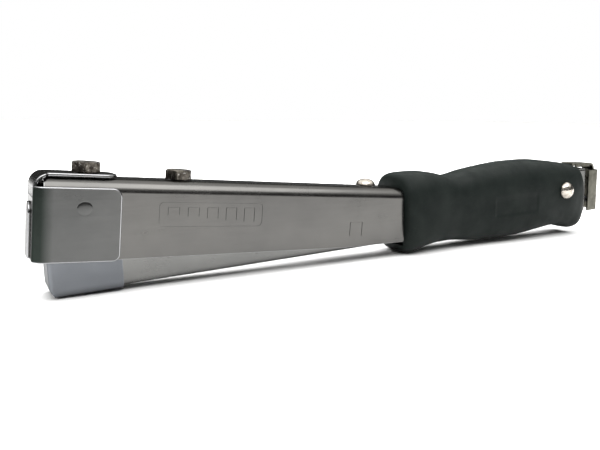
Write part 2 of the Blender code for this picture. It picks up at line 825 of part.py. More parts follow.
def make_grip(handle, web_v):
    bm = bmesh.new()
    loops = []
    for u, top, bottom, half in smooth_stations(grip_stations, grip_rings):
        ring = ring_points(top * mm, bottom * mm, half * mm)
        loops.append([bm.verts.new((u * mm, y, v)) for y, v in ring])
    for one, two in zip(loops, loops[1:], strict=False):
        for step in range(grip_ring_points):
            after = (step + 1) % grip_ring_points
            bm.faces.new((one[step], one[after], two[after], two[step]))
    bm.faces.new(loops[0])
    bm.faces.new(loops[-1])
    grip = make_object("grip", bm, handle, 40)
    start, end = grip_stations[0][0] * mm - 5 * mm, grip_stations[-1][0] * mm + 5 * mm
    half = frame_half + gap
    hollow = box("grip_hollow", (start, -half, grip_cavity_bottom_v), (end, half, web_v + gap), handle)
    combine(grip, hollow, "DIFFERENCE")
    half = magazine_half + rear_notch_room
    notch = box("grip_notch", (rear_notch_u, -half, 0), (end, half, 30 * mm), handle)
    combine(grip, notch, "DIFFERENCE")
    cut_hole(grip, hole_radius, "y", (0, 0, 0), -30 * mm, 30 * mm)
    rubber(grip)
    seat = max(row[3] for row in grip_stations) * mm + gap
    dome = dome_profile(rivet_dome_radius, rivet_dome_height, seat, 1)
    profile = [(r, -along) for r, along in reversed(dome)]
    profile += [(rivet_shank_radius, -seat), (rivet_shank_radius, seat), *dome]
    nickel(lathe("pivot_rivet", profile, "y", (0, 0, 0), handle))


def make_magazine(swing):
    end = magazine_end_u
    outer = magazine_half
    section = rounded([
        (-outer, magazine_rear_top_v, 1.5 * mm),
        (-outer, magazine_bottom_v, magazine_bend),
        (outer, magazine_bottom_v, magazine_bend),
        (outer, magazine_rear_top_v, 1.5 * mm),
    ])
    channel = prism("magazine_channel", section, "x", magazine_front_u, end, swing, 30)
    inner = magazine_inner
    top = magazine_rear_top_v - magazine_wall
    hollow = rounded([
        (-inner, top, 0.4 * mm),
        (-inner, magazine_bottom_v + magazine_wall, magazine_bend - magazine_wall),
        (inner, magazine_bottom_v + magazine_wall, magazine_bend - magazine_wall),
        (inner, top, 0.4 * mm),
    ])
    inside = prism("channel_hollow", hollow, "x", magazine_front_u - 5 * mm, end + 5 * mm, swing)
    combine(channel, inside, "DIFFERENCE")
    high = magazine_rear_top_v + 5 * mm
    ear = (stop_pin_u - stop_ear_half, stop_pin_u + stop_ear_half)
    above = rounded([
        (magazine_front_u - 2 * mm, high, 0),
        (magazine_front_u - 2 * mm, magazine_top_v, 0),
        (ear[0] - 4 * mm, magazine_top_v, 0),
        (ear[0], stop_ear_v, 1 * mm),
        (ear[1], stop_ear_v, 1 * mm),
        (ear[1] + 4 * mm, magazine_top_v, 0),
        (-pivot_ear_u - 8 * mm, magazine_top_v, 0),
        (-pivot_ear_u, pivot_ear_v, 2 * mm),
        (magazine_rear_u, pivot_ear_v, 0),
        (magazine_rear_u, high, 0),
    ])
    combine(channel, prism("channel_top", above, "y", -10 * mm, 10 * mm, swing), "DIFFERENCE")
    opening = magazine_half - rear_lip_width
    low = (magazine_rear_u - 5 * mm, -opening, magazine_top_v)
    combine(channel, box("rear_opening", low, (end + 5 * mm, opening, high), swing), "DIFFERENCE")
    cut_hole(channel, hole_radius, "y", (0, 0, 0), -10 * mm, 10 * mm)
    pin_place = (stop_pin_u, 0, stop_pin_v)
    cut_hole(channel, stop_pin_radius + gap, "y", pin_place, -10 * mm, 10 * mm)
    chrome(channel)
    pin_half = frame_half - 0.1 * mm
    tool_steel(rod("stop_pin", stop_pin_radius, "y", pin_place, -pin_half, pin_half, swing))
    spacer_half = magazine_inner - gap
    spacer = rod("pivot_spacer", spacer_radius, "y", (0, 0, 0), -spacer_half, spacer_half, swing)
    cut_hole(spacer, hole_radius, "y", (0, 0, 0), -10 * mm, 10 * mm)
    tool_steel(spacer)


def make_sleeve(swing):
    outline = [
        (sleeve_front_u, sleeve_top_v),
        (sleeve_rear_u, sleeve_top_v),
        (sleeve_rear_u, sleeve_bottom_v),
        (magazine_front_u, sleeve_bottom_v),
        (magazine_front_u - sleeve_chamfer_length, sleeve_bottom_v + 0.6 * mm),
        (sleeve_front_u, sleeve_chamfer_v),
    ]
    sleeve = prism("nose_sleeve", outline, "y", -sleeve_half, sleeve_half, swing, 30)
    plan = rounded([
        (sleeve_rear_u + 2 * mm, -sleeve_half, 0),
        (sleeve_front_u, -sleeve_half, sleeve_bend),
        (sleeve_front_u, sleeve_half, sleeve_bend),
        (sleeve_rear_u + 2 * mm, sleeve_half, 0),
    ])
    combine(sleeve, prism("sleeve_plan", plan, "z", -30 * mm, 10 * mm, swing), "INTERSECT")
    section = rounded([
        (-sleeve_half, 10 * mm, 0),
        (-sleeve_half, sleeve_bottom_v, magazine_bend + sleeve_wall),
        (sleeve_half, sleeve_bottom_v, magazine_bend + sleeve_wall),
        (sleeve_half, 10 * mm, 0),
    ])
    low, high = sleeve_front_u - 2 * mm, sleeve_rear_u + 2 * mm
    combine(sleeve, prism("sleeve_section", section, "x", low, high, swing), "INTERSECT")
    half = sleeve_half - sleeve_wall
    floor = sleeve_bottom_v + sleeve_wall
    hollow = rounded([
        (-half, 12 * mm, 0),
        (-half, floor, magazine_bend),
        (half, floor, magazine_bend),
        (half, 12 * mm, 0),
    ])
    combine(sleeve, prism("sleeve_hollow", hollow, "x", slot_front_u, high, swing), "DIFFERENCE")
    slot = box("staple_slot", (slot_front_u, -slot_half, -25 * mm), (magazine_front_u, slot_half, 0), swing)
    combine(sleeve, slot, "DIFFERENCE")
    zinc(sleeve)


def make_rail(swing):
    wall = rail_wall
    section = channel_section(rail_half, wall, 0.5 * mm, rail_top_v, rail_bottom_v)
    rail = prism("staple_rail", section, "x", magazine_front_u, rail_end_u, swing, 30)
    low, high = magazine_bottom_v - 1 * mm, rail_bottom_v + wall
    for index, x in enumerate(rail_rivet_places):
        u = x - pivot_x
        cut_hole(rail, rail_rivet_radius + gap, "z", (u, 0, 0), low, high + 1 * mm)
        head = high + gap
        profile = [
            (rail_rivet_radius, magazine_bottom_v),
            (rail_rivet_radius, head),
            (rail_rivet_head, head),
            (rail_rivet_head, head + rail_rivet_head_height),
        ]
        place = ("front", "rear")[index]
        zinc(lathe(f"rail_rivet_{place}", profile, "z", (u, 0, 0), swing))
        cut_hole(bpy.data.objects["magazine_channel"], rail_rivet_radius + gap, "z", (u, 0, 0), low, high)
    tool_steel(rail)
    half = magazine_inner - gap
    low, high = (magazine_front_u, -half, cover_under_v), (cover_end_u, half, cover_top_v)
    zinc(box("staple_cover", low, high, swing))
    inner = crown_half - staple_wire
    outline = [
        (-crown_half, leg_bottom_v),
        (-crown_half, crown_top_v),
        (crown_half, crown_top_v),
        (crown_half, leg_bottom_v),
        (inner, leg_bottom_v),
        (inner, crown_under_v),
        (-inner, crown_under_v),
        (-inner, leg_bottom_v),
    ]
    nickel(prism("staple_strip", outline, "x", strip_front_u, strip_end_u, swing))


def make_loader(swing):
    plan = rounded([
        (endcap_front_u, -endcap_half, 0),
        (endcap_rear_u, -endcap_half, endcap_bend),
        (endcap_rear_u, endcap_half, endcap_bend),
        (endcap_front_u, endcap_half, 0),
        (endcap_front_u, endcap_half - endcap_wall, 0),
        (endcap_rear_u - endcap_wall, endcap_half - endcap_wall, endcap_bend - endcap_wall),
        (endcap_rear_u - endcap_wall, endcap_wall - endcap_half, endcap_bend - endcap_wall),
        (endcap_front_u, endcap_wall - endcap_half, 0),
    ])
    endcap = prism("loader_endcap", plan, "z", endcap_bottom_v, endcap_top_v, swing, 30)
    low, high = endcap_rear_u - 4 * mm, endcap_rear_u + 4 * mm
    cut_hole(endcap, rod_radius + gap, "x", (0, 0, rod_v), low, high)
    cut_hole(endcap, latch_rivet_radius + gap, "x", (0, 0, latch_rivet_v), low, high)
    dull_nickel(endcap)
    nut_front = endcap_rear_u + gap
    rod_end = nut_front + rod_nut_height + rod_stand
    head_u = pusher_front_u - gap - rod_head_length
    profile = [
        (rod_head_radius, head_u),
        (rod_head_radius, head_u + rod_head_length),
        (rod_radius, head_u + rod_head_length),
        (rod_radius, rod_collar_u),
        (rod_collar_radius, rod_collar_u),
        (rod_collar_radius, rod_collar_u + rod_collar_length),
        (rod_radius, rod_collar_u + rod_collar_length),
        (rod_radius, rod_end),
    ]
    zinc(lathe("guide_rod", profile, "x", (0, 0, rod_v), swing))
    rings = [("hex", rod_nut_flats, nut_front), ("hex", rod_nut_flats, nut_front + rod_nut_height)]
    zinc(hex_body("rod_nut", rings, rod_radius + gap, 0, "x", (0, 0, rod_v), swing))
    inner_seat = endcap_rear_u - endcap_wall - gap
    outer_seat = endcap_rear_u + 2 * gap + latch_wall
    profile = [
        (latch_rivet_head, inner_seat - latch_rivet_head_height),
        (latch_rivet_head, inner_seat),
        (latch_rivet_radius, inner_seat),
        (latch_rivet_radius, outer_seat),
        (latch_rivet_head, outer_seat),
        (latch_rivet_head, outer_seat + latch_rivet_head_height),
    ]
    dull_nickel(lathe("latch_rivet", profile, "x", (0, 0, latch_rivet_v), swing))


def make_pusher(swing):
    """A saddle over the rail, with a core inside it that runs on the guide rod."""
    skirt = crown_half - staple_wire
    core = rail_half - rail_wall - gap
    top = crown_under_v + pusher_crown
    right = [
        (crown_half, top),
        (crown_half, leg_bottom_v),
        (skirt, leg_bottom_v),
        (skirt, crown_under_v),
        (core, crown_under_v),
        (core, pusher_core_v),
    ]
    outline = right + [(-y, v) for y, v in reversed(right)]
    pusher = prism("pusher", outline, "x", pusher_front_u, pusher_end_u, swing)
    cut_hole(pusher, rod_radius + gap, "x", (0, 0, rod_v), pusher_front_u - 2 * mm, pusher_end_u + 2 * mm)
    zinc(pusher)
    spring = coil(
        "pusher_spring",
        pusher_spring_radius,
        pusher_spring_wire,
        pusher_spring_turns,
        pusher_end_u + gap,
        rod_collar_u - gap,
        "x",
        (0, 0, rod_v),
        swing,
    )
    nickel(spring)


def make_latch(latch):
    """A bent strip; its own frame sits on the rivet, where it flexes."""
    face = -latch_wall / 2
    rise_rear = latch_top_v - latch_rivet_v
    rise_front = latch_front_v - latch_rivet_v
    reach = latch_front_u - (endcap_rear_u + gap + latch_wall / 2)
    lip = magazine_rear_top_v + latch_lip_gap - latch_rivet_v
    tilt = (rise_front - rise_rear) / (reach + latch_wall)
    under_front = rise_front - latch_wall
    outline = rounded([
        (-face, -latch_tail, 0),
        (-face, rise_rear, latch_bend),
        (reach, rise_front, 0.6 * mm),
        (reach, lip, 0),
        (reach + latch_wall, lip, 0),
        (reach + latch_wall, under_front + tilt * latch_wall, 0),
        (face, rise_rear - latch_wall, latch_bend - latch_wall),
        (face, -latch_tail, 0),
    ])
    half = latch_width / 2
    arm = prism("latch_arm", outline, "y", -half, half, latch, 30)
    cut_hole(arm, latch_rivet_radius + gap, "x", (0, 0, 0), -3 * mm, 3 * mm)
    dull_nickel(arm)


def lowest_point(name):
    """The lowest point of an object in the world, as (x, z)."""
    graph = bpy.context.evaluated_depsgraph_get()
    obj = bpy.data.objects[name].evaluated_get(graph)
    spots = [obj.matrix_world @ vert.co for vert in obj.to_mesh().vertices]
    low = min(spots, key=lambda spot: spot.z)
    obj.to_mesh_clear()
    return low


def stand_up(tool):
    """Tilts the tool until the nose and the grip's lip are level, then centres it on the floor."""
    for _ in range(6):
        bpy.context.view_layer.update()
        nose, lip = lowest_point("nose_sleeve"), lowest_point("grip")
        tool.rotation_euler.y += math.atan2(lip.z - nose.z, lip.x - nose.x)
    bpy.context.view_layer.update()
    graph = bpy.context.evaluated_depsgraph_get()
    spots = []
    for obj in bpy.context.scene.objects:
        if obj.type in ("MESH", "CURVE") and not obj.hide_render:
            shown = obj.evaluated_get(graph)
            spots += [shown.matrix_world @ vert.co for vert in shown.to_mesh().vertices]
            shown.to_mesh_clear()
    low = [min(spot[axis] for spot in spots) for axis in range(3)]
    high = [max(spot[axis] for spot in spots) for axis in range(3)]
    tool.location -= Vector(((low[0] + high[0]) / 2, (low[1] + high[1]) / 2, low[2]))
    bpy.context.view_layer.update()


def main():
    clear_scene()
    tool = make_empty("tool", None, (0, 0, 0), (0, 0, 0))
    handle = make_empty("handle", tool, (pivot_x, 0, pivot_z), (0, -slope, 0))
    swing = make_empty("magazine_pivot", tool, (pivot_x, 0, pivot_z), (0, -slope, 0))
    flex = endcap_rear_u + gap + latch_wall / 2
    latch = make_empty("latch_flex", swing, (flex, 0, latch_rivet_v), (0, 0, 0))
    make_housing(tool)
    make_cap(tool)
    make_bolts(tool)
    make_driver(tool)
    make_inner_stops(tool)
    web_v = make_frame(tool)
    make_grip(handle, web_v)
    make_magazine(swing)
    make_sleeve(swing)
    make_rail(swing)
    make_loader(swing)
    make_pusher(swing)
    make_latch(latch)
    stand_up(tool)


main()
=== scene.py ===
import json
import math

import bmesh
import bpy
from mathutils import Matrix, Vector


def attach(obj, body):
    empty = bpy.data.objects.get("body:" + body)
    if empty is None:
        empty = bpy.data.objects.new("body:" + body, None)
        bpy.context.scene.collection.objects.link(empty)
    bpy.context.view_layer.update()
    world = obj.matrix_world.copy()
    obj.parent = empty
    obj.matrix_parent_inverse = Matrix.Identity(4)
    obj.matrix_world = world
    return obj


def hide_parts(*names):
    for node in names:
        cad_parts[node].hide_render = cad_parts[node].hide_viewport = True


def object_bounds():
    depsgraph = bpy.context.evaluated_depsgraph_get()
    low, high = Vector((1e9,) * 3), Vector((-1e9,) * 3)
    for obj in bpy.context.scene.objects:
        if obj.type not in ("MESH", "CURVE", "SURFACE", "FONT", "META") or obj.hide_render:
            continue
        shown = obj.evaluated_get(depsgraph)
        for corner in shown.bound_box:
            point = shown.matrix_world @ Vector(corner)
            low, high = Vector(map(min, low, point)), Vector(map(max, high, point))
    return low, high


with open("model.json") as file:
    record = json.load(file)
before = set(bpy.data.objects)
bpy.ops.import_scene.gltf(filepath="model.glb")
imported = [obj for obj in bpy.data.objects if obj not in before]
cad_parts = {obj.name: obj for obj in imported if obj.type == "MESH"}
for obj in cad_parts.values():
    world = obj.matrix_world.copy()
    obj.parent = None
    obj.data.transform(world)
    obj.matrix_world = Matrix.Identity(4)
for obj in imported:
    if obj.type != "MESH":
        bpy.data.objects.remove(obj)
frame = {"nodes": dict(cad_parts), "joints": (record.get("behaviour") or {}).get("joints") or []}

cadBox = [list(corner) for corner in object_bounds()]
mm = 0.001
scene = bpy.context.scene
print("frame loaded:", len(frame["nodes"]), "nodes")


# ---- where things are: two frames in millimetres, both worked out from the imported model

# toolPlace has X from the cap's front to the rear, Z up from the housing's flat top.
# magPlace sits on the swing pivot: X (u) runs back along the magazine, Z (v) is square to it.
toolLayout = {"slope": 6.335, "ribHeight": 1.0}
joints = {joint["name"]: joint for joint in frame["joints"]}
uAxis = Vector(joints["loader_slide"]["axis"])
magTurn = Matrix.Rotation(math.atan2(-uAxis.z, uAxis.x), 4, "Y") @ Matrix.Scale(mm, 4)
magPlace = Matrix.Translation(joints["magazine_swing"]["pos_m"]) @ magTurn


def spanIn(node, place):
    # lowest and highest corner of a CAD node in a local frame, in millimetres
    inverse = place.inverted()
    points = [inverse @ vert.co for vert in frame["nodes"][node].data.vertices]
    return [Vector([pick(point[axis] for point in points) for axis in range(3)]) for pick in (min, max)]


toolTurn = magTurn @ Matrix.Rotation(math.radians(toolLayout["slope"]), 4, "Y")
capFront = spanIn("head_cap", toolTurn)[0].x + toolLayout["ribHeight"]
toolPlace = toolTurn @ Matrix.Translation((capFront, 0, spanIn("housing_shell", toolTurn)[1].z))
magInTool = toolPlace.inverted() @ magPlace


def toTool(u, v):
    # the tool-frame (x, z) of a point given in the magazine frame
    point = magInTool @ Vector((u, 0, v))
    return point.x, point.z


# ---- mesh work: everything is modelled in millimetres and baked into place at the end


def addObject(name, mesh):
    obj = bpy.data.objects.new(name, mesh)
    scene.collection.objects.link(obj)
    return obj


def fromBmesh(name, bm):
    bmesh.ops.recalc_face_normals(bm, faces=bm.faces)
    mesh = bpy.data.meshes.new(name)
    bm.to_mesh(mesh)
    bm.free()
    return addObject(name, mesh)


def rounded(corners, steps=10):
    # an outline through (a, b, radius) corners, with a true arc at each corner that has a radius
    points = []
    for index, (a, b, radius) in enumerate(corners):
        here = Vector((a, b))
        if radius <= 0:
            points.append(here)
            continue
        before = (Vector(corners[index - 1][:2]) - here).normalized()
        after = (Vector(corners[(index + 1) % len(corners)][:2]) - here).normalized()
        half = before.angle(after) / 2
        middle = here + (before + after).normalized() * (radius / math.sin(half))
        start = here + before * (radius / math.tan(half)) - middle
        end = here + after * (radius / math.tan(half)) - middle
        sweep = start.angle_signed(end)
        points += [middle + Matrix.Rotation(-sweep * step / steps, 2) @ start for step in range(steps + 1)]
    return points


def prism(outline, axis, low, high):
    # an outline pushed from low to high along an axis; the outline lies in the other two, in order
    bm = bmesh.new()

    def place(point, along):
        spot = list(point)
        spot.insert("xyz".index(axis), along)
        return spot

    face = bm.faces.new([bm.verts.new(place(point, low)) for point in outline])
    pushed = bmesh.ops.extrude_face_region(bm, geom=[face])["geom"]
    moved = [item for item in pushed if isinstance(item, bmesh.types.BMVert)]
    bmesh.ops.translate(bm, vec=Vector(place((0, 0), high)) - Vector(place((0, 0), low)), verts=moved)
    return fromBmesh("prism", bm)


def box(low, high):
    corners = [(low[0], low[1]), (high[0], low[1]), (high[0], high[1]), (low[0], high[1])]
    return prism(corners, "z", low[2], high[2])


def lathe(profile, axis="z", place=(0, 0, 0), steps=64):
    # a closed turned body from (radius, along) pairs
    bm = bmesh.new()
    rings = []
    for radius, along in profile:
        if radius <= 0:
            rings.append([bm.verts.new((0, 0, along))])
            continue
        turns = [math.tau * step / steps for step in range(steps)]
        rings.append([bm.verts.new((radius * math.cos(a), radius * math.sin(a), along)) for a in turns])
    for one, two in zip(rings, rings[1:], strict=False):
        for step in range(steps):
            after = (step + 1) % steps
            if len(one) == 1:
                bm.faces.new((one[0], two[step], two[after]))
            elif len(two) == 1:
                bm.faces.new((one[step], one[after], two[0]))
            else:
                bm.faces.new((one[step], one[after], two[after], two[step]))
    for ring in (rings[0], rings[-1]):
        if len(ring) > 1:
            bm.faces.new(ring)
    turns = {"x": Matrix.Rotation(math.pi / 2, 4, "Y"), "y": Matrix.Rotation(-math.pi / 2, 4, "X")}
    bmesh.ops.transform(bm, matrix=turns.get(axis, Matrix()), verts=bm.verts)
    bmesh.ops.translate(bm, vec=place, verts=bm.verts)
    return fromBmesh("lathe", bm)


def rod(radius, axis, place, low, high):
    return lathe([(radius, low), (radius, high)], axis, place)


def combine(obj, tool, operation="DIFFERENCE"):
    step = obj.modifiers.new(operation, "BOOLEAN")
    step.object = tool
    step.operation = operation
    step.solver = "EXACT"
    return bake(obj, [tool])


def bake(obj, tools=()):
    # the evaluated mesh takes the place of the object's own, and its modifiers go
    graph = bpy.context.evaluated_depsgraph_get()
    solid = obj.evaluated_get(graph)
    mesh = bpy.data.meshes.new_from_object(solid, preserve_all_data_layers=True, depsgraph=graph)
    obj.modifiers.clear()
    obj.data = mesh
    for tool in tools:
        bpy.data.objects.remove(tool)
    return obj


weldReach = 0.002
holeGap = 0.3  # how much wider a hole is than the shank in it


def softenEdges(obj, width, segments=2, angle=32, clamp=True):
    # worn, plated edges: a narrow bevel on every sharp edge, marked with the second material index
    while len(obj.data.materials) < 2:
        obj.data.materials.append(None)
    bm = bmesh.new()
    bm.from_mesh(obj.data)
    bmesh.ops.remove_doubles(bm, verts=bm.verts, dist=weldReach)
    bmesh.ops.dissolve_degenerate(bm, edges=bm.edges, dist=weldReach)
    bm.to_mesh(obj.data)
    bm.free()
    step = obj.modifiers.new("edge", "BEVEL")
    step.width = width
    step.segments = segments
    step.limit_method = "ANGLE"
    step.angle_limit = math.radians(angle)
    step.use_clamp_overlap = clamp
    step.material = 1
    return bake(obj)


def markPolish(mesh):
    # the bevelled faces carry a "polish" value that the plated materials read
    polish = mesh.attributes.new("polish", "FLOAT", "FACE")
    polish.data.foreach_set("value", [float(polygon.material_index == 1) for polygon in mesh.polygons])
    for polygon in mesh.polygons:
        polygon.material_index = 0


def finishPiece(obj, name, place, material, body, nodes, smooth=35, weighted=True):
    # bakes the piece into the row frame, shades it, hangs it on its body's empty and hides the CAD nodes it stands
    # for
    obj.name = name
    obj.data.name = name
    markPolish(obj.data)
    obj.data.materials.clear()
    obj.data.materials.append(material)
    obj.data.shade_smooth()
    obj.data.set_sharp_from_angle(angle=math.radians(smooth))
    if weighted:
        step = obj.modifiers.new("normals", "WEIGHTED_NORMAL")
        step.keep_sharp = True
        bake(obj)
    obj.data.transform(place)
    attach(obj, body)
    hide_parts(*nodes)
    print("made", name, len(obj.data.polygons), "faces")
    return obj


# ---- geometry trees for what repeats: bolts, rivets and staples


def nodeAdder(tree):
    # a short way to add a node, set its options, and fill or link its inputs by name, or by place as i0, i1
    def add(kind, settings=None, **inputs):
        node = tree.nodes.new(kind)
        for key, value in (settings or {}).items():
            setattr(node, key, value)
        for key, value in inputs.items():
            numbered = key[0] == "i" and key[1:].isdigit()
            socket = node.inputs[int(key[1:]) if numbered else key.replace("_", " ")]
            sources = value if isinstance(value, list) else [value]
            if isinstance(sources[0], bpy.types.NodeSocket):
                for source in sources:
                    tree.links.new(source, socket)
            else:
                socket.default_value = value
        return node

    return add


def newTree(name, sizes):
    # a tree with one number input for each size and a material input
    tree = bpy.data.node_groups.new(name, "GeometryNodeTree")
    tree.interface.new_socket("Geometry", in_out="OUTPUT", socket_type="NodeSocketGeometry")
    for label, value in sizes.items():
        kind = "NodeSocketInt" if isinstance(value, int) else "NodeSocketFloat"
        tree.interface.new_socket(label, in_out="INPUT", socket_type=kind).default_value = value
    tree.interface.new_socket("Material", in_out="INPUT", socket_type="NodeSocketMaterial")
    start = tree.nodes.new("NodeGroupInput")

    add = nodeAdder(tree)

    def maths(operation, a, b=0.0, c=0.0):
        return add("ShaderNodeMath", {"operation": operation}, i0=a, i1=b, i2=c).outputs[0]

    return tree, start.outputs, add, maths


def closeTree(tree, add, geometry, material):
    realized = add("GeometryNodeRealizeInstances", Geometry=geometry).outputs[0]
    painted = add("GeometryNodeSetMaterial", Geometry=realized, Material=material).outputs[0]
    tree.links.new(painted, tree.nodes.new("NodeGroupOutput").inputs[0])
    return tree


def growTree(tree, material, **sizes):
    # runs a tree on an empty mesh and keeps the result as a plain mesh
    obj = addObject(tree.name, bpy.data.meshes.new(tree.name))
    step = obj.modifiers.new(tree.name, "NODES")
    step.node_group = tree
    for item in tree.interface.items_tree:
        if item.in_out == "INPUT" and item.name in sizes:
            step[item.identifier] = sizes[item.name]
        if item.in_out == "INPUT" and item.name == "Material":
            step[item.identifier] = material
    bake(obj)
    obj.data.materials.clear()
    obj.data.polygons.foreach_set("material_index", [0] * len(obj.data.polygons))
    return obj


def withShank(head, size, add, maths):
    shank = add("GeometryNodeMeshCylinder", Vertices=48, Radius=size["ShankRadius"], Depth=size["ShankLength"])
    drop = add("ShaderNodeCombineXYZ", Z=maths("MULTIPLY", size["ShankLength"], -0.5)).outputs[0]
    shank = add("GeometryNodeTransform", Geometry=shank.outputs["Mesh"], Translation=drop).outputs[0]
    return add("GeometryNodeJoinGeometry", i0=[head, shank]).outputs[0]


def hexBoltTree():
    sizes = {"Flats": 10.0, "HeadHeight": 4.0, "FaceShare": 0.9, "Turn": 0.0}
    sizes |= {"ShankRadius": 3.0, "ShankLength": 12.0}
    tree, size, add, maths = newTree("hexBolt", sizes)
    corner = maths("DIVIDE", size["Flats"], math.sqrt(3))
    half = maths("MULTIPLY", size["HeadHeight"], 0.5)
    head = add("GeometryNodeMeshCylinder", Vertices=6, Radius=corner, Depth=size["HeadHeight"]).outputs["Mesh"]
    lift = add("ShaderNodeCombineXYZ", Z=half).outputs[0]
    spin = add("ShaderNodeCombineXYZ", Z=size["Turn"]).outputs[0]
    head = add("GeometryNodeTransform", Geometry=head, Translation=lift, Rotation=spin).outputs[0]
    # a wide cone, standing past the head's top and base, cuts the six corners at thirty degrees
    faceRadius = maths("MULTIPLY", size["Flats"], maths("MULTIPLY", size["FaceShare"], 0.5))
    slant = math.tan(math.radians(60))
    skirt = maths("MULTIPLY_ADD", maths("ADD", size["HeadHeight"], 1.0), slant, faceRadius)
    tip = maths("SUBTRACT", faceRadius, slant)
    tall = maths("ADD", size["HeadHeight"], 2.0)
    cone = add("GeometryNodeMeshCone", Vertices=90, Radius_Top=tip, Radius_Bottom=skirt, Depth=tall)
    cone = add("GeometryNodeTransform", Geometry=cone.outputs["Mesh"], Translation=(0, 0, -1)).outputs[0]
    head = add("GeometryNodeMeshBoolean", {"operation": "INTERSECT"}, i1=[head, cone]).outputs["Mesh"]
    return closeTree(tree, add, withShank(head, size, add, maths), size["Material"])


def domedRivetTree():
    sizes = {"Radius": 4.8, "Height": 3.4, "HammerDepth": 0.3, "HammerScale": 1.1, "ShankRadius": 2.5}
    sizes |= {"ShankLength": 5.0, "Seed": 3.0}
    tree, size, add, maths = newTree("domedRivet", sizes)
    ball = add("GeometryNodeMeshUVSphere", Segments=72, Rings=40, Radius=1.0).outputs["Mesh"]
    place = add("GeometryNodeInputPosition").outputs[0]
    parts = add("ShaderNodeSeparateXYZ", Vector=place).outputs
    # the lower half is pressed flat, so the dome stands on a true round face
    high = maths("MULTIPLY", maths("MAXIMUM", parts["Z"], 0.0), size["Height"])
    wide = [maths("MULTIPLY", parts[axis], size["Radius"]) for axis in ("X", "Y")]
    spot = add("ShaderNodeCombineXYZ", X=wide[0], Y=wide[1], Z=high).outputs[0]
    dome = add("GeometryNodeSetPosition", Geometry=ball, Position=spot).outputs[0]
    noise = {"noise_dimensions": "4D"}
    dents = add("ShaderNodeTexNoise", noise, W=size["Seed"], Scale=size["HammerScale"], Detail=1.0)
    depth = maths("MULTIPLY", maths("SUBTRACT", dents.outputs[0], 0.62), size["HammerDepth"])
    depth = maths("MULTIPLY", depth, maths("MINIMUM", parts["Z"], 1.0))
    outward = add("GeometryNodeInputNormal").outputs[0]
    push = add("ShaderNodeVectorMath", {"operation": "SCALE"}, i0=outward, Scale=depth).outputs[0]
    dome = add("GeometryNodeSetPosition", Geometry=dome, Offset=push).outputs[0]
    return closeTree(tree, add, withShank(dome, size, add, maths), size["Material"])


def stapleTree():
    sizes = {"Crown": 10.6, "Leg": 8.0, "Wire": 0.6, "Depth": 0.5, "Bend": 0.5, "Pitch": 0.6, "Count": 10}
    tree, size, add, maths = newTree("staples", sizes)
    # four points in a row become the two feet and the two shoulders of one staple
    row = add("GeometryNodeMeshLine", Count=4).outputs[0]
    index = add("GeometryNodeInputIndex").outputs[0]
    side = maths("SIGN", maths("SUBTRACT", index, 1.5))
    centre = maths("MULTIPLY", maths("SUBTRACT", size["Crown"], size["Wire"]), 0.5)
    foot = maths("GREATER_THAN", maths("ABSOLUTE", maths("SUBTRACT", index, 1.5)), 1.0)
    low = maths("MULTIPLY", foot, maths("MULTIPLY", size["Leg"], -1.0))
    spot = add("ShaderNodeCombineXYZ", Y=maths("MULTIPLY", side, centre), Z=low).outputs[0]
    row = add("GeometryNodeSetPosition", Geometry=row, Position=spot).outputs[0]
    line = add("GeometryNodeMeshToCurve", Mesh=row).outputs[0]
    line = add("GeometryNodeFilletCurve", {"mode": "POLY"}, Curve=line, Count=3, Radius=size["Bend"]).outputs[0]
    section = add("GeometryNodeCurvePrimitiveQuadrilateral", Width=size["Wire"], Height=size["Depth"])
    wire = add("GeometryNodeCurveToMesh", Curve=line, Profile_Curve=section.outputs[0], Fill_Caps=True).outputs[0]
    step = add("ShaderNodeCombineXYZ", X=size["Pitch"]).outputs[0]
    places = add("GeometryNodeMeshLine", Count=size["Count"], Offset=step).outputs[0]
    many = add("GeometryNodeInstanceOnPoints", Points=places, Instance=wire).outputs[0]
    return closeTree(tree, add, many, size["Material"])


# ---- materials: every pattern is in object coordinates, with one unit for each millimetre


def newMaterial(name, metallic, roughness, colour=(0.5, 0.5, 0.5)):
    material = bpy.data.materials.new(name)
    material.use_nodes = True
    material.diffuse_color = (*colour, 1)
    tree = material.node_tree
    shader = tree.nodes["Principled BSDF"]
    shader.inputs["Base Color"].default_value = (*colour, 1)
    shader.inputs["Metallic"].default_value = metallic
    shader.inputs["Roughness"].default_value = roughness
    coordinates = tree.nodes.new("ShaderNodeTexCoord").outputs["Object"]

    add = nodeAdder(tree)

    def noise(scale, detail=3.0, stretch=(1, 1, 1), roughness=0.5):
        size = [scale * share / mm for share in stretch]
        vector = add("ShaderNodeMapping", Vector=coordinates, Scale=size).outputs[0]
        return add("ShaderNodeTexNoise", Vector=vector, Scale=1.0, Detail=detail, Roughness=roughness).outputs[0]

    def spread(value, low, high, fromLow=0.3, fromHigh=0.7):
        node = add("ShaderNodeMapRange", Value=value, From_Min=fromLow, From_Max=fromHigh, To_Min=low, To_Max=high)
        return node.outputs[0]

    def mixColour(amount, one, two):
        node = add("ShaderNodeMix", {"data_type": "RGBA"}, i0=amount)
        for socket, value in ((node.inputs[6], one), (node.inputs[7], two)):
            if isinstance(value, bpy.types.NodeSocket):
                tree.links.new(value, socket)
            else:
                socket.default_value = (*value, 1)
        return node.outputs[2]

    def bump(height, distance, strength=1.0, under=None):
        node = add("ShaderNodeBump", Height=height, Distance=distance * mm, Strength=strength)
        if under:
            tree.links.new(under, node.inputs["Normal"])
        return node.outputs[0]

    def wire(name, value):
        tree.links.new(value, shader.inputs[name])

    return material, noise, spread, mixColour, bump, wire, add


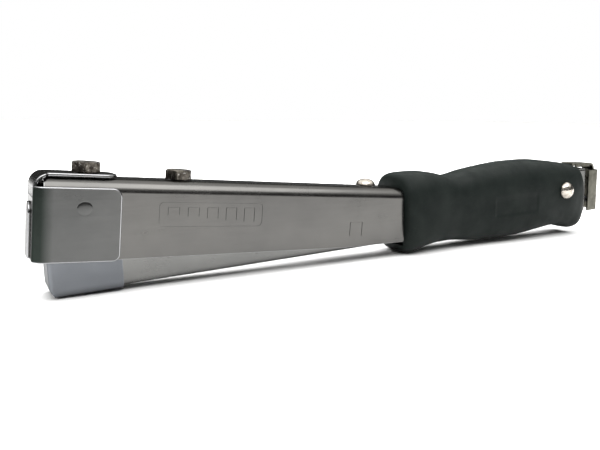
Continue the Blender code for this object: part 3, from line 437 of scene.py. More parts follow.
def paintBendReflection(material, add, spread, mixColour, shade, tint):
    # painted reflection: a dark green-black band in the base colour where the cap's front corners were drawn round,
    # standing in for the dark surroundings those bends mirror
    coordinates = material.node_tree.nodes["Texture Coordinate"].outputs["Object"]
    along = add("ShaderNodeVectorMath", {"operation": "DOT_PRODUCT"}, i0=coordinates, i1=tint["axis"])
    across = add("ShaderNodeSeparateXYZ", i0=coordinates).outputs["Y"]
    across = add("ShaderNodeMath", {"operation": "ABSOLUTE"}, i0=across).outputs[0]
    clear, fade = (tint["start"] + tint[edge] * mm for edge in ("clear", "fade"))
    near = spread(along.outputs["Value"], 1, 0, clear, fade)
    outer = spread(across, 0, 1, tint["inner"] * mm, tint["outer"] * mm)
    amount = add("ShaderNodeMath", {"operation": "MULTIPLY"}, i0=near, i1=outer).outputs[0]
    return mixColour(amount, shade, tint["colour"])


plating = {"wave": 0.0016, "slowWave": 0.032, "streak": (0.05, 1.2, 1.2), "streakGloss": 0.025, "facing": 0.4}


def platedSteel(name, colour, dull, edge, roughness, smudge, paintedBendReflection=None):
    # plated sheet: slow waves from rolling, polishing streaks, smudges in the gloss, bright worn edges, and on the
    # cap a painted dark reflection band at the front bends
    material, noise, spread, mixColour, bump, wire, add = newMaterial(name, 1.0, roughness, colour)
    cloud = noise(0.035, 3.0)
    shade = mixColour(spread(cloud, 0, 1), colour, dull)
    # only the cap gets the painted dark reflection band at its front bends
    if paintedBendReflection:
        shade = paintBendReflection(material, add, spread, mixColour, shade, paintedBendReflection)
    # a dark edge tint keeps faces seen at a low angle from turning white
    shader = material.node_tree.nodes["Principled BSDF"]
    shader.inputs["Specular Tint"].default_value = (*[plating["facing"]] * 3, 1)
    worn = add("ShaderNodeAttribute", {"attribute_name": "polish"}).outputs["Fac"]
    wire("Base Color", mixColour(worn, shade, edge))
    lines = noise(1.0, 2.0, plating["streak"])
    smears = spread(noise(0.09, 4.0, roughness=0.62), roughness, roughness + smudge)
    streaks = spread(lines, -plating["streakGloss"], plating["streakGloss"])
    gloss = add("ShaderNodeMath", {"operation": "ADD"}, i0=smears, i1=streaks)
    wire("Roughness", gloss.outputs[0])
    slow = bump(noise(0.05, 1.0), plating["slowWave"])
    wire("Normal", bump(lines, plating["wave"], 1.0, slow))
    return material


# colour, dull patches, worn edges, roughness, and how far smudges raise it
platedLooks = {
    "chromePlate": ((0.116, 0.113, 0.108), (0.098, 0.096, 0.093), (0.26, 0.26, 0.26), 0.19, 0.08),
    "capPlate": ((0.096, 0.096, 0.094), (0.078, 0.079, 0.078), (0.34, 0.34, 0.35), 0.17, 0.1),
    "magazinePlate": ((0.175, 0.174, 0.168), (0.148, 0.148, 0.145), (0.26, 0.26, 0.26), 0.21, 0.07),
    "blueZinc": ((0.152, 0.16, 0.172), (0.126, 0.133, 0.145), (0.34, 0.36, 0.4), 0.28, 0.12),
    "groundSteel": ((0.19, 0.19, 0.195), (0.14, 0.14, 0.145), (0.3, 0.3, 0.3), 0.32, 0.14),
    "brightZinc": ((0.5, 0.53, 0.6), (0.4, 0.43, 0.5), (0.6, 0.62, 0.66), 0.25, 0.1),
}
toolAxis = toolTurn.to_3x3().col[0].normalized()
# painted reflection: where the dark band sits on the cap's front bends, and its green-black colour
paintedBendReflection = {"axis": toolAxis, "start": toolPlace.translation.dot(toolAxis), "colour": (0.022, 0.027, 0.024),
            "clear": 2.6, "fade": 6.5, "inner": 8.4, "outer": 10.5}
paintedReflections = {"capPlate": paintedBendReflection}
chrome, capChrome, magazineChrome, blueZinc, toolSteel, brightZinc = (
    platedSteel(name, *look, paintedReflections.get(name)) for name, look in platedLooks.items()
)


def darkBoltSteel():
    look = {"deep": (0.035, 0.03, 0.026), "worn": (0.16, 0.145, 0.125), "bright": (0.62, 0.6, 0.57)}
    look["roughness"] = 0.34
    made = newMaterial("phosphatedSteel", 1.0, look["roughness"], look["deep"])
    material, noise, spread, mixColour, bump, wire, add = made
    blotch = spread(noise(0.45, 5.0, roughness=0.65), 0, 1, 0.42, 0.66)
    flecks = spread(noise(1.1, 4.0, roughness=0.7), 0, 1, 0.6, 0.68)
    wire("Base Color", mixColour(flecks, mixColour(blotch, look["deep"], look["worn"]), look["bright"]))
    wire("Roughness", spread(noise(0.8, 3.0), look["roughness"] - 0.08, look["roughness"] + 0.18))
    wire("Normal", bump(noise(1.4, 4.0), 0.05, 0.8))
    return material


def nickelPlate():
    look = {"colour": (0.5, 0.46, 0.41), "tarnish": (0.2, 0.17, 0.14), "roughness": 0.15}
    made = newMaterial("nickelPlate", 1.0, look["roughness"], look["colour"])
    material, noise, spread, mixColour, bump, wire, add = made
    wire("Base Color", mixColour(spread(noise(0.5, 4.0), 0, 1, 0.45, 0.75), look["colour"], look["tarnish"]))
    wire("Roughness", spread(noise(0.9, 3.0), look["roughness"] - 0.04, look["roughness"] + 0.14))
    wire("Normal", bump(noise(0.8, 2.0), 0.06, 0.7))
    return material


def dullNickel():
    look = {"colour": (0.14, 0.136, 0.112), "dark": (0.075, 0.072, 0.06), "roughness": 0.33}
    made = newMaterial("dullNickel", 1.0, look["roughness"], look["colour"])
    material, noise, spread, mixColour, bump, wire, add = made
    patches = spread(noise(0.28, 5.0, roughness=0.6), 0, 1, 0.42, 0.68)
    wire("Base Color", mixColour(patches, look["colour"], look["dark"]))
    wire("Roughness", spread(noise(0.5, 4.0), look["roughness"] - 0.06, look["roughness"] + 0.16))
    pits = spread(noise(2.2, 2.0), 0, 1, 0.6, 0.7)
    wire("Normal", bump(pits, -0.02, 0.6))
    return material


def gripRubber():
    look = {"deep": (0.005, 0.0075, 0.0068), "dust": (0.0105, 0.014, 0.0125), "speck": (0.026, 0.03, 0.026),
            "roughness": 0.5, "grain": 0.02, "sheen": 0.1}
    made = newMaterial("gripRubber", 0.0, look["roughness"], look["deep"])
    material, noise, spread, mixColour, bump, wire, add = made
    material.node_tree.nodes["Principled BSDF"].inputs["Specular IOR Level"].default_value = look["sheen"]
    haze = spread(noise(0.06, 4.0, roughness=0.6), 0, 1, 0.35, 0.7)
    specks = spread(noise(1.6, 3.0, roughness=0.7), 0, 1, 0.64, 0.74)
    wire("Base Color", mixColour(specks, mixColour(haze, look["deep"], look["dust"]), look["speck"]))
    wire("Roughness", spread(noise(0.15, 4.0), look["roughness"] - 0.05, look["roughness"] + 0.12))
    wire("Normal", bump(noise(3.2, 3.0, roughness=0.6), look["grain"], 0.7))
    return material


boltSteel = darkBoltSteel()
nickel = nickelPlate()
warmNickel = dullNickel()
rubber = gripRubber()
print("materials ready")


# ---- housing shell: an inverted channel of bent sheet with a stamped mark on each side

housing = {
    "half": 11.15, "wall": 1.6, "bend": 5.0, "front": 3.4, "endU": -110.6,
    "frontDepth": 30.1, "midDepth": 28.0, "rearDepth": 25.9, "midInset": 33.0, "flapEnd": 30.1,
    "rearCorner": 1.2, "edge": 0.22,
}
stamp = {
    "x": (44.0, 88.0), "z": (-17.6, -7.6), "line": 0.45, "depth": 0.16, "corner": 2.0, "inset": (6.0, 2.2),
    "crown": 5.0, "leg": 3.0, "legStep": 0.7, "pitch": 8.0, "count": 5, "bend": 0.5,
    "rear": (136.0, -16.0), "rearCrown": 7.0, "rearLeg": 6.5,
}
boltPlaces = {
    "front_bolt": {"x": 19.0, "seat": 1.95, "turn": 19.5},
    "rear_bolt": {"x": 54.7, "seat": 0.3, "turn": 6.4},
}
boltLayout = {"flats": 10.0, "head": 4.0, "radius": 3.0}
rivetLayout = {"inset": 15.1, "radius": 4.8, "height": 3.4, "shank": 2.5}


def housingEnd(z):
    # x of the housing's slanted rear cut at a height
    top, bottom = toTool(housing["endU"], 10), toTool(housing["endU"], -40)
    share = (z - top[1]) / (bottom[1] - top[1])
    return top[0] + share * (bottom[0] - top[0])


def channel(half, wall, bend, openEdge, web, low, high):
    way = 1 if web > openEdge else -1
    inner = max(bend - wall, 0.2)
    section = rounded([
        (-half, openEdge, 0), (-half, web, bend), (half, web, bend), (half, openEdge, 0),
        (half - wall, openEdge, 0), (half - wall, web - way * wall, inner),
        (wall - half, web - way * wall, inner), (wall - half, openEdge, 0),
    ])
    return prism(section, "x", low, high)


def staplesMark(tree, places, size, y):
    # outlines of staples, laid on a side face and pushed through it to the stamp's depth
    marks = growTree(tree, None, **size)
    marks.data.transform(Matrix.Rotation(math.pi / 2, 4, "Z"))
    marks.data.transform(Matrix.Translation((places[0], y, places[1])))
    return marks


def buildHousing(staples):
    shape = housing
    shell = channel(shape["half"], shape["wall"], shape["bend"], -40, 0, shape["front"], 180)
    outline = rounded([
        (shape["front"] - 1, 2, 0), (housingEnd(2), 2, 0),
        (housingEnd(-shape["rearDepth"]), -shape["rearDepth"], shape["rearCorner"]),
        (housingEnd(-shape["rearDepth"]) - shape["midInset"], -shape["midDepth"], 0),
        (shape["flapEnd"], -shape["frontDepth"], 0), (shape["front"] - 1, -shape["frontDepth"], 0),
    ])
    combine(shell, prism(outline, "y", -20, 20), "INTERSECT")
    softenEdges(shell, shape["edge"])
    for spot in boltPlaces.values():
        combine(shell, rod(boltLayout["radius"] + holeGap, "z", (spot["x"], 0, 0), -5, 5))
    combine(shell, rod(rivetLayout["shank"] + holeGap, "z", (housingEnd(0) - rivetLayout["inset"], 0, 0), -5, 5))
    combine(shell, rod(capRivet["shank"] + holeGap, "y", (capRivet["x"], 0, capRivet["z"]), -20, 20))
    for side in (-1, 1):
        stampSide(shell, staples, side)
    return finishPiece(shell, "housingShell", toolPlace, chrome, "housing", ["housing_shell"])


def stampSide(shell, staples, side):
    # a plain frame with a row of staple outlines of growing legs
    face = side * housing["half"]
    low, high = sorted((face - side * stamp["depth"], face + side * 1.0))
    (x0, x1), (z0, z1) = stamp["x"], stamp["z"]
    line = stamp["line"]
    ring, inner = (
        rounded([(x0 + step, z0 + step, bend), (x0 + step, z1 - step, bend), (x1 - step, z1 - step, bend),
                 (x1 - step, z0 + step, bend)], 6)
        for step, bend in ((0, stamp["corner"]), (line, stamp["corner"] - 0.4))
    )
    ring = prism(ring, "y", low, high)
    combine(ring, prism(inner, "y", low - 1, high + 1))
    combine(shell, ring)
    size = {"Wire": line, "Depth": 2 * stamp["depth"], "Bend": stamp["bend"], "Count": 1}
    for number in range(stamp["count"]):
        place = (x0 + stamp["inset"][0] + number * stamp["pitch"], z1 - stamp["inset"][1])
        leg = stamp["leg"] + stamp["legStep"] * number
        combine(shell, staplesMark(staples, place, {**size, "Crown": stamp["crown"], "Leg": leg}, face))
    rear = {**size, "Crown": stamp["rearCrown"], "Leg": stamp["rearLeg"]}
    combine(shell, staplesMark(staples, stamp["rear"], rear, face))


# ---- head cap: sheet wrapped round the front, a tongue bent over the top, a pressed rib and spot marks

cap = {
    "half": 12.8, "wall": 1.35, "length": 30.1, "bend": 4.0, "top": -3.0, "bottom": -30.5,
    "topCorner": 3.5, "bottomCorner": 2.8, "tongueHalf": 8.0, "tongueLength": 29.6, "tongueCorner": 5.0,
    "tongueUnder": 0.3, "tongueBend": 5.6, "rootHalf": 10.2, "rootLength": 4.6, "rootCorner": 1.2,
    "innerCorner": 0.9, "ribHalf": 4.5, "ribTop": -9.5, "ribLift": 0.4, "edge": 0.5,
}
spotMarks = {"places": ((9.9, -25.5), (23.7, -25.9)), "radius": 2.5, "depth": 0.22}
capRivet = {"x": 17.0, "z": -10.6, "radius": 2.7, "height": 0.34, "shank": 2.4, "length": 3.2, "dents": 0.03}


def buildCap():
    shape = cap
    half, wall, length, bend = shape["half"], shape["wall"], shape["length"], shape["bend"]
    plan = rounded([
        (length + 2, -half, 0), (0, -half, bend), (0, half, bend), (length + 2, half, 0),
        (length + 2, half - wall, 0), (wall, half - wall, bend - wall), (wall, wall - half, bend - wall),
        (length + 2, wall - half, 0),
    ])
    body = prism(plan, "z", shape["bottom"], shape["top"])
    topSet, bottomSet = length - shape["topCorner"] - 1, length - shape["bottomCorner"] - 1
    outline = rounded([
        (-2, shape["bottom"] - 2, 0), (-2, shape["top"] + 2, 0), (topSet, shape["top"] + 2, 0),
        (topSet, shape["top"], 0), (length, shape["top"], shape["topCorner"]),
        (length, shape["bottom"], shape["bottomCorner"]), (bottomSet, shape["bottom"], 0),
        (bottomSet, shape["bottom"] - 2, 0),
    ])
    combine(body, prism(outline, "y", -20, 20), "INTERSECT")
    under, over = shape["tongueUnder"], shape["tongueUnder"] + wall
    strip = rounded([
        (0, shape["top"] - 5, 0), (0, over, shape["tongueBend"]), (shape["tongueLength"], over, 0),
        (shape["tongueLength"], under, 0), (wall, under, shape["tongueBend"] - wall), (wall, shape["top"] - 5, 0),
    ])
    wide, end, corner = shape["tongueHalf"], shape["tongueLength"], shape["tongueCorner"]
    rootHalf, rootLength = shape["rootHalf"], shape["rootLength"]
    tongue = prism(strip, "y", -rootHalf - 1, rootHalf + 1)
    # the tongue is wider at its root, where it closes the cap's front corners
    outer, inner = shape["rootCorner"], shape["innerCorner"]
    trim = rounded([
        (0, -rootHalf, outer), (0, rootHalf, outer), (rootLength, rootHalf, outer), (rootLength, wide, inner),
        (end, wide, corner), (end, -wide, corner), (rootLength, -wide, inner), (rootLength, -rootHalf, outer),
    ])
    combine(tongue, prism(trim, "z", -10, 10), "INTERSECT")
    # both bends are softened before they are joined, so that no bevel runs into the inner corner
    softenEdges(body, shape["edge"], 3, clamp=False)
    softenEdges(tongue, shape["edge"], 3, clamp=False)
    combine(body, tongue, "UNION")
    ribHalf = shape["ribHalf"]
    low = shape["bottom"] + shape["ribLift"]
    rib = prism(rounded([
        (-ribHalf, low, 0), (-ribHalf, shape["ribTop"], ribHalf * 0.9), (ribHalf, shape["ribTop"], ribHalf * 0.9),
        (ribHalf, low, 0),
    ]), "x", -toolLayout["ribHeight"], wall / 2)
    combine(body, softenEdges(rib, shape["edge"], 4, 60), "UNION")
    combine(body, rod(boltLayout["radius"] + holeGap, "z", (boltPlaces["front_bolt"]["x"], 0, 0), -1, 4))
    combine(body, rod(capRivet["shank"] + 0.2, "y", (capRivet["x"], 0, capRivet["z"]), -20, 20))
    for side in (-1, 1):
        for x, z in spotMarks["places"]:
            combine(body, spotMark(side, x, z))
    return finishPiece(body, "headCap", toolPlace, capChrome, "housing", ["head_cap"])


def spotMark(side, x, z):
    # a shallow round press mark: a flat floor and a sloping rim
    radius, depth = spotMarks["radius"], spotMarks["depth"]
    profile = [(radius - 0.6, -depth), (radius, 0), (radius + 0.2, 0.2), (radius + 0.2, 0.5)]
    rings = [(r, side * (cap["half"] + rise)) for r, rise in profile]
    return lathe(rings, "y", (x, 0, z), 40)


# ---- fasteners


def mountTree(obj, matrix):
    obj.data.transform(matrix)
    return obj


def facingSide(x, y, z, side):
    # a rivet grown along Z, turned to point out of a side face
    return Matrix.Translation((x, y, z)) @ Matrix.Rotation(-side * math.pi / 2, 4, "X")


def joinMeshes(first, others):
    bm = bmesh.new()
    for obj in (first, *others):
        bm.from_mesh(obj.data)
    bm.to_mesh(first.data)
    bm.free()
    for obj in others:
        bpy.data.objects.remove(obj)
    return first


def buildFasteners(bolts, rivets):
    for node, spot in boltPlaces.items():
        low = spanIn(node, toolPlace)[0].z
        bolt = growTree(bolts, boltSteel, Flats=boltLayout["flats"], HeadHeight=boltLayout["head"],
                        ShankRadius=boltLayout["radius"], ShankLength=spot["seat"] - low,
                        Turn=math.radians(spot["turn"]))
        mountTree(bolt, Matrix.Translation((spot["x"], 0, spot["seat"])))
        softenEdges(bolt, 0.16, 2, 25)
        name = {"front_bolt": "frontBolt", "rear_bolt": "rearBolt"}[node]
        finishPiece(bolt, name, toolPlace, boltSteel, "housing", [node], smooth=25)
    dome = {"Radius": rivetLayout["radius"], "Height": rivetLayout["height"], "ShankRadius": rivetLayout["shank"]}
    low = spanIn("top_rivet", toolPlace)[0].z
    top = growTree(rivets, nickel, **dome, ShankLength=0.3 - low, Seed=3.0)
    mountTree(top, Matrix.Translation((housingEnd(0) - rivetLayout["inset"], 0, 0.3)))
    finishPiece(top, "topRivet", toolPlace, nickel, "housing", ["top_rivet"], smooth=60, weighted=False)
    seat = spanIn("pivot_rivet", magPlace)[1].y - rivetLayout["height"]
    ends = []
    for side in (-1, 1):
        end = growTree(rivets, nickel, **dome, ShankLength=seat, Seed=5.0 + side)
        ends.append(mountTree(end, facingSide(0, side * seat, 0, side)))
    pivot = joinMeshes(ends[0], ends[1:])
    finishPiece(pivot, "pivotRivet", magPlace, nickel, "housing", ["pivot_rivet"], smooth=60, weighted=False)
    flat = {"Radius": capRivet["radius"], "Height": capRivet["height"], "ShankRadius": capRivet["shank"]}
    flat["HammerDepth"] = capRivet["dents"]
    for side, node, name in ((-1, "cap_rivet_near", "capRivetNear"), (1, "cap_rivet_far", "capRivetFar")):
        disc = growTree(rivets, capChrome, **flat, ShankLength=capRivet["length"], Seed=8.0 + side)
        mountTree(disc, facingSide(capRivet["x"], side * cap["half"], capRivet["z"], side))
        finishPiece(disc, name, toolPlace, capChrome, "housing", [node], smooth=60, weighted=False)


# ---- grip: a moulded rubber loft over the handle frame

grip = {
    "power": 3.0, "around": 168, "along": 190, "cavityHalf": 9.55, "cavityTop": 8.21, "cavityBottom": -18.6,
    "notchU": 15.5, "notchHalf": 8.3, "hole": 2.8,
    "panelU": -37.0, "panelV": -5.0, "panelLong": 15.0, "panelTall": 5.0, "panelDepth": 0.4, "panelRim": 0.9,
    "edge": 0.7,
}
# place along the handle, top, bottom and half width of each section
gripSections = [
    (-110.2, 14.2, -20.6, 13.4), (-108.6, 15.9, -22.6, 15.2), (-104.0, 16.7, -23.5, 16.0),
    (-95.0, 16.7, -21.8, 15.8), (-86.0, 15.3, -20.9, 15.0), (-76.0, 12.9, -21.1, 14.2),
    (-60.0, 15.3, -23.1, 14.2), (-33.0, 17.7, -24.0, 15.8), (-14.0, 17.6, -22.5, 16.5),
    (0.0, 16.0, -21.7, 16.5), (9.0, 14.6, -23.4, 16.0), (16.0, 13.4, -25.1, 14.9),
    (18.9, 12.7, -25.0, 14.1),
]


def smoothSections(rows, count):
    # the sections read at even steps along a smooth curve through them
    slopes = []
    for index in range(len(rows)):
        one, two = max(index - 1, 0), min(index + 1, len(rows) - 1)
        run = rows[two][0] - rows[one][0]
        slopes.append([(b - a) / run for a, b in zip(rows[one], rows[two], strict=True)])
    found = []
    for row, after, m0, m1 in zip(rows, rows[1:], slopes, slopes[1:], strict=False):
        run = after[0] - row[0]
        steps = max(2, round(count * run / (rows[-1][0] - rows[0][0])))
        for step in range(steps):
            t = step / steps
            h0, h1 = 2 * t**3 - 3 * t**2 + 1, 3 * t**2 - 2 * t**3
            h2, h3 = t**3 - 2 * t**2 + t, t**3 - t**2
            pairs = zip(row, after, m0, m1, strict=True)
            found.append([
                min(max(h0 * a + h1 * b + run * (h2 * s0 + h3 * s1), min(a, b)), max(a, b)) for a, b, s0, s1 in pairs
            ])
    return [*found, list(rows[-1])]


def ease(value):
    value = min(max(value, 0), 1)
    return value * value * (3 - 2 * value)


def gripRing(u, top, bottom, half):
    # a superellipse with a shallow sunken panel on each side
    middle, tall = (top + bottom) / 2, (top - bottom) / 2
    ring = []
    for step in range(grip["around"]):
        angle = math.tau * (step + 0.5) / grip["around"]
        c, s = math.cos(angle), math.sin(angle)
        across = math.copysign(abs(c) ** (2 / grip["power"]), c) * half
        height = middle + math.copysign(abs(s) ** (2 / grip["power"]), s) * tall
        inLong = ease((grip["panelLong"] - abs(u - grip["panelU"])) / grip["panelRim"] + 0.5)
        inTall = ease((grip["panelTall"] - abs(height - grip["panelV"])) / grip["panelRim"] + 0.5)
        across -= math.copysign(grip["panelDepth"] * inLong * inTall, across)
        ring.append((u, across, height))
    return ring


def buildGrip():
    shape = grip
    bm = bmesh.new()
    rows = smoothSections(gripSections, shape["along"])
    loops = [[bm.verts.new(spot) for spot in gripRing(*row)] for row in rows]
    for one, two in zip(loops, loops[1:], strict=False):
        for step in range(shape["around"]):
            after = (step + 1) % shape["around"]
            bm.faces.new((one[step], one[after], two[after], two[step]))
    bm.faces.new(loops[0])
    bm.faces.new(loops[-1])
    body = fromBmesh("gripBody", bm)
    start, end = gripSections[0][0] - 5, gripSections[-1][0] + 5
    half = shape["cavityHalf"]
    combine(body, box((start, -half, shape["cavityBottom"]), (end, half, shape["cavityTop"])))
    combine(body, box((shape["notchU"], -shape["notchHalf"], 0), (end, shape["notchHalf"], 30)))
    combine(body, rod(shape["hole"], "y", (0, 0, 0), -30, 30))
    softenEdges(body, shape["edge"], 3, 50)
    return finishPiece(body, "rubberGrip", magPlace, rubber, "housing", ["grip"], smooth=50, weighted=False)


# ---- magazine: the channel, its nose sleeve and the staples

magazine = {
    "half": 7.5, "wall": 1.2, "bend": 2.8, "bottom": -17.0, "front": -266.1, "end": 28.3, "rearTop": 10.0,
    "rearU": 17.6, "lip": 3.0, "earU": 8.0, "earV": 5.0, "stopU": -165.0, "stopHalf": 6.0, "stopV": 3.0,
    "edge": 0.2, "pivotHole": 2.8, "stopHole": 2.3, "stopDrop": 0.2, "railHole": 1.8,
}
sleeve = {
    "half": 8.7, "wall": 0.9, "bend": 2.2, "front": -269.7, "rear": -243.4, "top": 1.0, "bottom": -18.05,
    "chamferV": -14.2, "chamferLength": 1.8, "chamferRise": 0.6, "slotFront": -268.6, "slotHalf": 6.0,
    "edge": 0.16,
}
staplesLook = {"crown": 10.6, "wire": 0.6, "thick": 0.56, "bend": 0.5}


def buildMagazine():
    shape = magazine
    half, wall, bend, bottom, top = shape["half"], shape["wall"], shape["bend"], shape["bottom"], shape["rearTop"]
    section = rounded([(-half, top, 1.5), (-half, bottom, bend), (half, bottom, bend), (half, top, 1.5)])
    body = prism(section, "x", shape["front"], shape["end"])
    inner = half - wall
    hollow = rounded([
        (-inner, top - wall, 0.4), (-inner, bottom + wall, bend - wall), (inner, bottom + wall, bend - wall),
        (inner, top - wall, 0.4),
    ])
    combine(body, prism(hollow, "x", shape["front"] - 5, shape["end"] + 5))
    ears = (shape["stopU"] - shape["stopHalf"], shape["stopU"] + shape["stopHalf"])
    above = rounded([
        (shape["front"] - 2, 15, 0), (shape["front"] - 2, 0, 0), (ears[0] - 4, 0, 0), (ears[0], shape["stopV"], 1),
        (ears[1], shape["stopV"], 1), (ears[1] + 4, 0, 0), (-shape["earU"] - 8, 0, 0),
        (-shape["earU"], shape["earV"], 2),
        (shape["rearU"], shape["earV"], 0), (shape["rearU"], 15, 0),
    ])
    combine(body, prism(above, "y", -10, 10))
    opening = half - shape["lip"]
    combine(body, box((shape["rearU"] - 5, -opening, 0), (shape["end"] + 5, opening, 15)))
    combine(body, rod(shape["pivotHole"], "y", (0, 0, 0), -10, 10))
    combine(body, rod(shape["stopHole"], "y", (shape["stopU"], 0, -shape["stopDrop"]), -10, 10))
    for node in ("rail_rivet_front", "rail_rivet_rear"):
        low, high = spanIn(node, magPlace)
        combine(body, rod(shape["railHole"], "z", ((low.x + high.x) / 2, 0, 0), bottom - 1, bottom + wall + 0.6))
    softenEdges(body, shape["edge"])
    return finishPiece(body, "magazineChannel", magPlace, magazineChrome, "magazine", ["magazine_channel"])


def buildSleeve():
    shape = sleeve
    front, rear, top, bottom = shape["front"], shape["rear"], shape["top"], shape["bottom"]
    outline = [
        (front, top), (rear, top), (rear, bottom), (magazine["front"], bottom),
        (magazine["front"] - shape["chamferLength"], bottom + shape["chamferRise"]), (front, shape["chamferV"]),
    ]
    half = shape["half"]
    body = prism(outline, "y", -half, half)
    bend = shape["bend"]
    plan = rounded([(rear + 2, -half, 0), (front, -half, bend), (front, half, bend), (rear + 2, half, 0)])
    combine(body, prism(plan, "z", -30, 10), "INTERSECT")
    bend = magazine["bend"] + shape["wall"]
    section = rounded([(-half, 10, 0), (-half, bottom, bend), (half, bottom, bend), (half, 10, 0)])
    combine(body, prism(section, "x", front - 2, rear + 2), "INTERSECT")
    inner, floor = half - shape["wall"], bottom + shape["wall"]
    bend = magazine["bend"]
    hollow = rounded([(-inner, 12, 0), (-inner, floor, bend), (inner, floor, bend), (inner, 12, 0)])
    combine(body, prism(hollow, "x", shape["slotFront"], rear + 2))
    combine(body, box((shape["slotFront"], -shape["slotHalf"], -25), (magazine["front"], shape["slotHalf"], 0)))
    softenEdges(body, shape["edge"])
    return finishPiece(body, "noseSleeve", magPlace, blueZinc, "magazine", ["nose_sleeve"])


def buildStaples(tree):
    low, high = spanIn("staple_strip", magPlace)
    wire = staplesLook["wire"]
    count = int((high.x - low.x) / wire)
    strip = growTree(tree, nickel, Crown=staplesLook["crown"], Leg=high.z - low.z - wire / 2, Wire=wire,
                     Depth=staplesLook["thick"], Bend=staplesLook["bend"], Pitch=wire, Count=count)
    mountTree(strip, Matrix.Translation((low.x + wire / 2, 0, high.z - wire / 2)))
    return finishPiece(strip, "stapleStrip", magPlace, nickel, "magazine", ["staple_strip"], weighted=False)


# ---- loader: the end cap and the latch arm on its rivet

endCap = {
    "half": 9.0, "wall": 1.2, "bend": 3.0, "front": 29.7, "rear": 39.5, "bottom": -15.7, "top": 8.7, "edge": 0.25,
    "hole": 1.8, "rodV": -10.4, "rivetV": 1.0,
}
latch = {
    "half": 4.0, "wall": 1.2, "front": 20.6, "frontV": 13.6, "topV": 12.2, "lip": 10.4, "bend": 4.0, "tail": -1.0,
    "flexU": 40.4, "flangeU": (23.0, 37.4), "flangeWall": 0.9, "edge": 0.2,
}


def buildEndCap():
    shape = endCap
    half, wall, front, rear, bend = shape["half"], shape["wall"], shape["front"], shape["rear"], shape["bend"]
    plan = rounded([
        (front, -half, 0), (rear, -half, bend), (rear, half, bend), (front, half, 0), (front, half - wall, 0),
        (rear - wall, half - wall, bend - wall), (rear - wall, wall - half, bend - wall), (front, wall - half, 0),
    ])
    body = prism(plan, "z", shape["bottom"], shape["top"])
    for height in (shape["rodV"], shape["rivetV"]):
        combine(body, rod(shape["hole"], "x", (0, 0, height), rear - 4, rear + 4))
    softenEdges(body, shape["edge"])
    return finishPiece(body, "loaderEndCap", magPlace, warmNickel, "loader", ["loader_endcap"])


def buildLatch():
    shape = latch
    wall, flex = shape["wall"], shape["flexU"]
    tilt = (shape["frontV"] - shape["topV"]) / (shape["front"] - flex + wall)
    outline = rounded([
        (flex + wall / 2, shape["tail"], 0), (flex + wall / 2, shape["topV"], shape["bend"]),
        (shape["front"], shape["frontV"], 0.6), (shape["front"], shape["lip"], 0),
        (shape["front"] + wall, shape["lip"], 0),
        (shape["front"] + wall, shape["frontV"] - wall + tilt * wall, 0),
        (flex - wall / 2, shape["topV"] - wall, shape["bend"] - wall), (flex - wall / 2, shape["tail"], 0),
    ])
    body = prism(outline, "y", -shape["half"], shape["half"])
    # turned-down flanges stiffen the arm
    lip = shape["lip"] + 0.1
    low, high = shape["flangeU"]
    flange = [(low + 1.6, lip), (low, shape["topV"] - 0.3), (high, shape["topV"] - 0.3), (high - 1.2, lip)]
    for side in (-1, 1):
        edges = sorted((side * shape["half"], side * (shape["half"] - shape["flangeWall"])))
        combine(body, prism(flange, "y", *edges), "UNION")
    combine(body, rod(endCap["hole"], "x", (0, 0, endCap["rivetV"]), flex - 3, flex + 3))
    softenEdges(body, shape["edge"])
    return finishPiece(body, "latchArm", magPlace, warmNickel, "latch", ["latch_arm"])


# ---- build everything

boltTree = hexBoltTree()
rivetTree = domedRivetTree()
stapleWire = stapleTree()
buildHousing(stapleWire)
buildCap()
buildFasteners(boltTree, rivetTree)
buildGrip()
buildMagazine()
buildSleeve()
buildStaples(stapleWire)
buildEndCap()
buildLatch()

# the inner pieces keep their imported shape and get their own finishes
innerFinishes = {
    toolSteel: ("driver_block", "driver_blade", "spring_guide", "return_spring", "stop_pin", "pivot_spacer",
                "staple_rail"),
    boltSteel: ("rear_nut",),
    brightZinc: ("handle_frame", "rail_rivet_front", "rail_rivet_rear", "staple_cover", "guide_rod", "rod_nut",
                 "pusher"),
    nickel: ("pusher_spring",),
    warmNickel: ("latch_rivet",),
    rubber: ("bump_stop",),
}
for finish, names in innerFinishes.items():
    for nodeName in names:
        node = frame["nodes"][nodeName]
        node.data.materials.clear()
        node.data.materials.append(finish)
print("inner pieces painted")


# ---- stage, light and camera

stage = {"size": 12.0, "colour": (0.86, 0.86, 0.86), "roughness": 0.9, "drop": 0.0002}
light = {
    "ceiling": 1.7, "frontBox": 17.0, "frontSize": (1.8, 1.0), "frontSpot": (-0.05, -0.5, 1.1),
    "frontAim": (0, -0.15, 0),
    "backBox": 14.0, "backSize": (1.0, 0.4), "backSpot": (0.15, 0.6, 0.55), "backAim": (0.1, 0.3, 0),
}


def buildStage():
    bm = bmesh.new()
    bmesh.ops.create_grid(bm, x_segments=8, y_segments=8, size=stage["size"] / 2)
    floor = fromBmesh("floor", bm)
    floor.location.z = cadBox[0][2] - stage["drop"]
    made = newMaterial("paleFloor", 0.0, stage["roughness"], stage["colour"])
    material, noise, spread, mixColour, bump, wire, add = made
    shade = [share * 0.985 for share in stage["colour"]]
    wire("Base Color", mixColour(spread(noise(0.004), 0, 1), stage["colour"], shade))
    floor.data.materials.append(material)


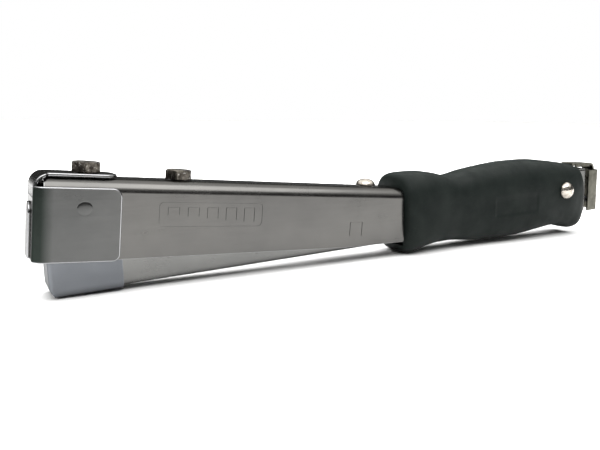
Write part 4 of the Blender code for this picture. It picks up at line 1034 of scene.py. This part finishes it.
def buildWorld():
    # a bright ceiling over dark walls gives the plated bends their bands; the backdrop itself is plain white
    world = bpy.data.worlds.new("studio")
    scene.world = world
    world.use_nodes = True
    tree = world.node_tree
    tree.nodes.clear()
    direction = tree.nodes.new("ShaderNodeTexCoord").outputs["Generated"]
    split = tree.nodes.new("ShaderNodeSeparateXYZ")
    tree.links.new(direction, split.inputs[0])
    ramp = tree.nodes.new("ShaderNodeValToRGB")
    lift = tree.nodes.new("ShaderNodeMath")
    lift.operation = "MULTIPLY_ADD"
    lift.inputs[1].default_value = 0.5
    lift.inputs[2].default_value = 0.5
    tree.links.new(split.outputs["Z"], lift.inputs[0])
    tree.links.new(lift.outputs[0], ramp.inputs[0])
    stops = [(0.0, 0.5), (0.49, 0.5), (0.515, 0.06), (0.64, 0.05), (0.74, 0.3), (0.84, 1.0), (1.0, 1.0)]
    band = ramp.color_ramp
    for index, (place, value) in enumerate(stops):
        stop = band.elements[index] if index < 2 else band.elements.new(place)
        stop.position = place
        stop.color = (value, value, value * 0.98, 1)
    glow = tree.nodes.new("ShaderNodeBackground")
    tree.links.new(ramp.outputs[0], glow.inputs[0])
    glow.inputs[1].default_value = light["ceiling"]
    backdrop = tree.nodes.new("ShaderNodeBackground")
    backdrop.inputs[0].default_value = (1, 1, 1, 1)
    path = tree.nodes.new("ShaderNodeLightPath")
    mix = tree.nodes.new("ShaderNodeMixShader")
    tree.links.new(path.outputs["Is Camera Ray"], mix.inputs[0])
    tree.links.new(glow.outputs[0], mix.inputs[1])
    tree.links.new(backdrop.outputs[0], mix.inputs[2])
    tree.links.new(mix.outputs[0], tree.nodes.new("ShaderNodeOutputWorld").inputs[0])


def addLight(name, matrix, energy, size, mirrored):
    data = bpy.data.lights.new(name, "AREA")
    data.energy = energy
    data.shape = "RECTANGLE"
    data.size, data.size_y = size
    lamp = bpy.data.objects.new(name, data)
    lamp.matrix_world = matrix
    lamp.visible_glossy = mirrored
    scene.collection.objects.link(lamp)


def aimed(place, target):
    way = (Vector(target) - Vector(place)).to_track_quat("-Z", "Y").to_matrix().to_4x4()
    return Matrix.Translation(place) @ way


def buildLights():
    # the front box lights the floor that the near side mirrors; the back box only whitens the floor behind
    for name, mirrored in (("front", True), ("back", False)):
        place = aimed(light[name + "Spot"], light[name + "Aim"])
        addLight(name + "Box", place, light[name + "Box"], light[name + "Size"], mirrored)


# the camera stands near the head and looks along the tool from just above it, in tool millimetres
camera = {"spot": (-22.1, -247.46, 21.06), "yaw": 31.192, "pitch": -6.028, "roll": 4.377, "lens": 37.061,
          "shift": (-0.04998, -0.03385)}


def buildCamera():
    data = bpy.data.cameras.new("mainCamera")
    data.sensor_width = 36
    data.lens = camera["lens"]
    data.shift_x, data.shift_y = camera["shift"]
    data.clip_start = 0.01
    turn = Matrix.Rotation(math.radians(-camera["yaw"]), 4, "Z")
    turn = turn @ Matrix.Rotation(math.radians(90 + camera["pitch"]), 4, "X")
    turn = turn @ Matrix.Rotation(math.radians(camera["roll"]), 4, "Z")
    place = toolPlace @ Matrix.Translation(camera["spot"])
    obj = bpy.data.objects.new("mainCamera", data)
    obj.matrix_world = Matrix.Translation(place.translation) @ (toolPlace.to_3x3().normalized().to_4x4() @ turn)
    scene.collection.objects.link(obj)
    scene.camera = obj


buildStage()
buildWorld()
buildLights()
buildCamera()
scene.view_settings.view_transform = "Standard"
print("stage, light and camera ready")
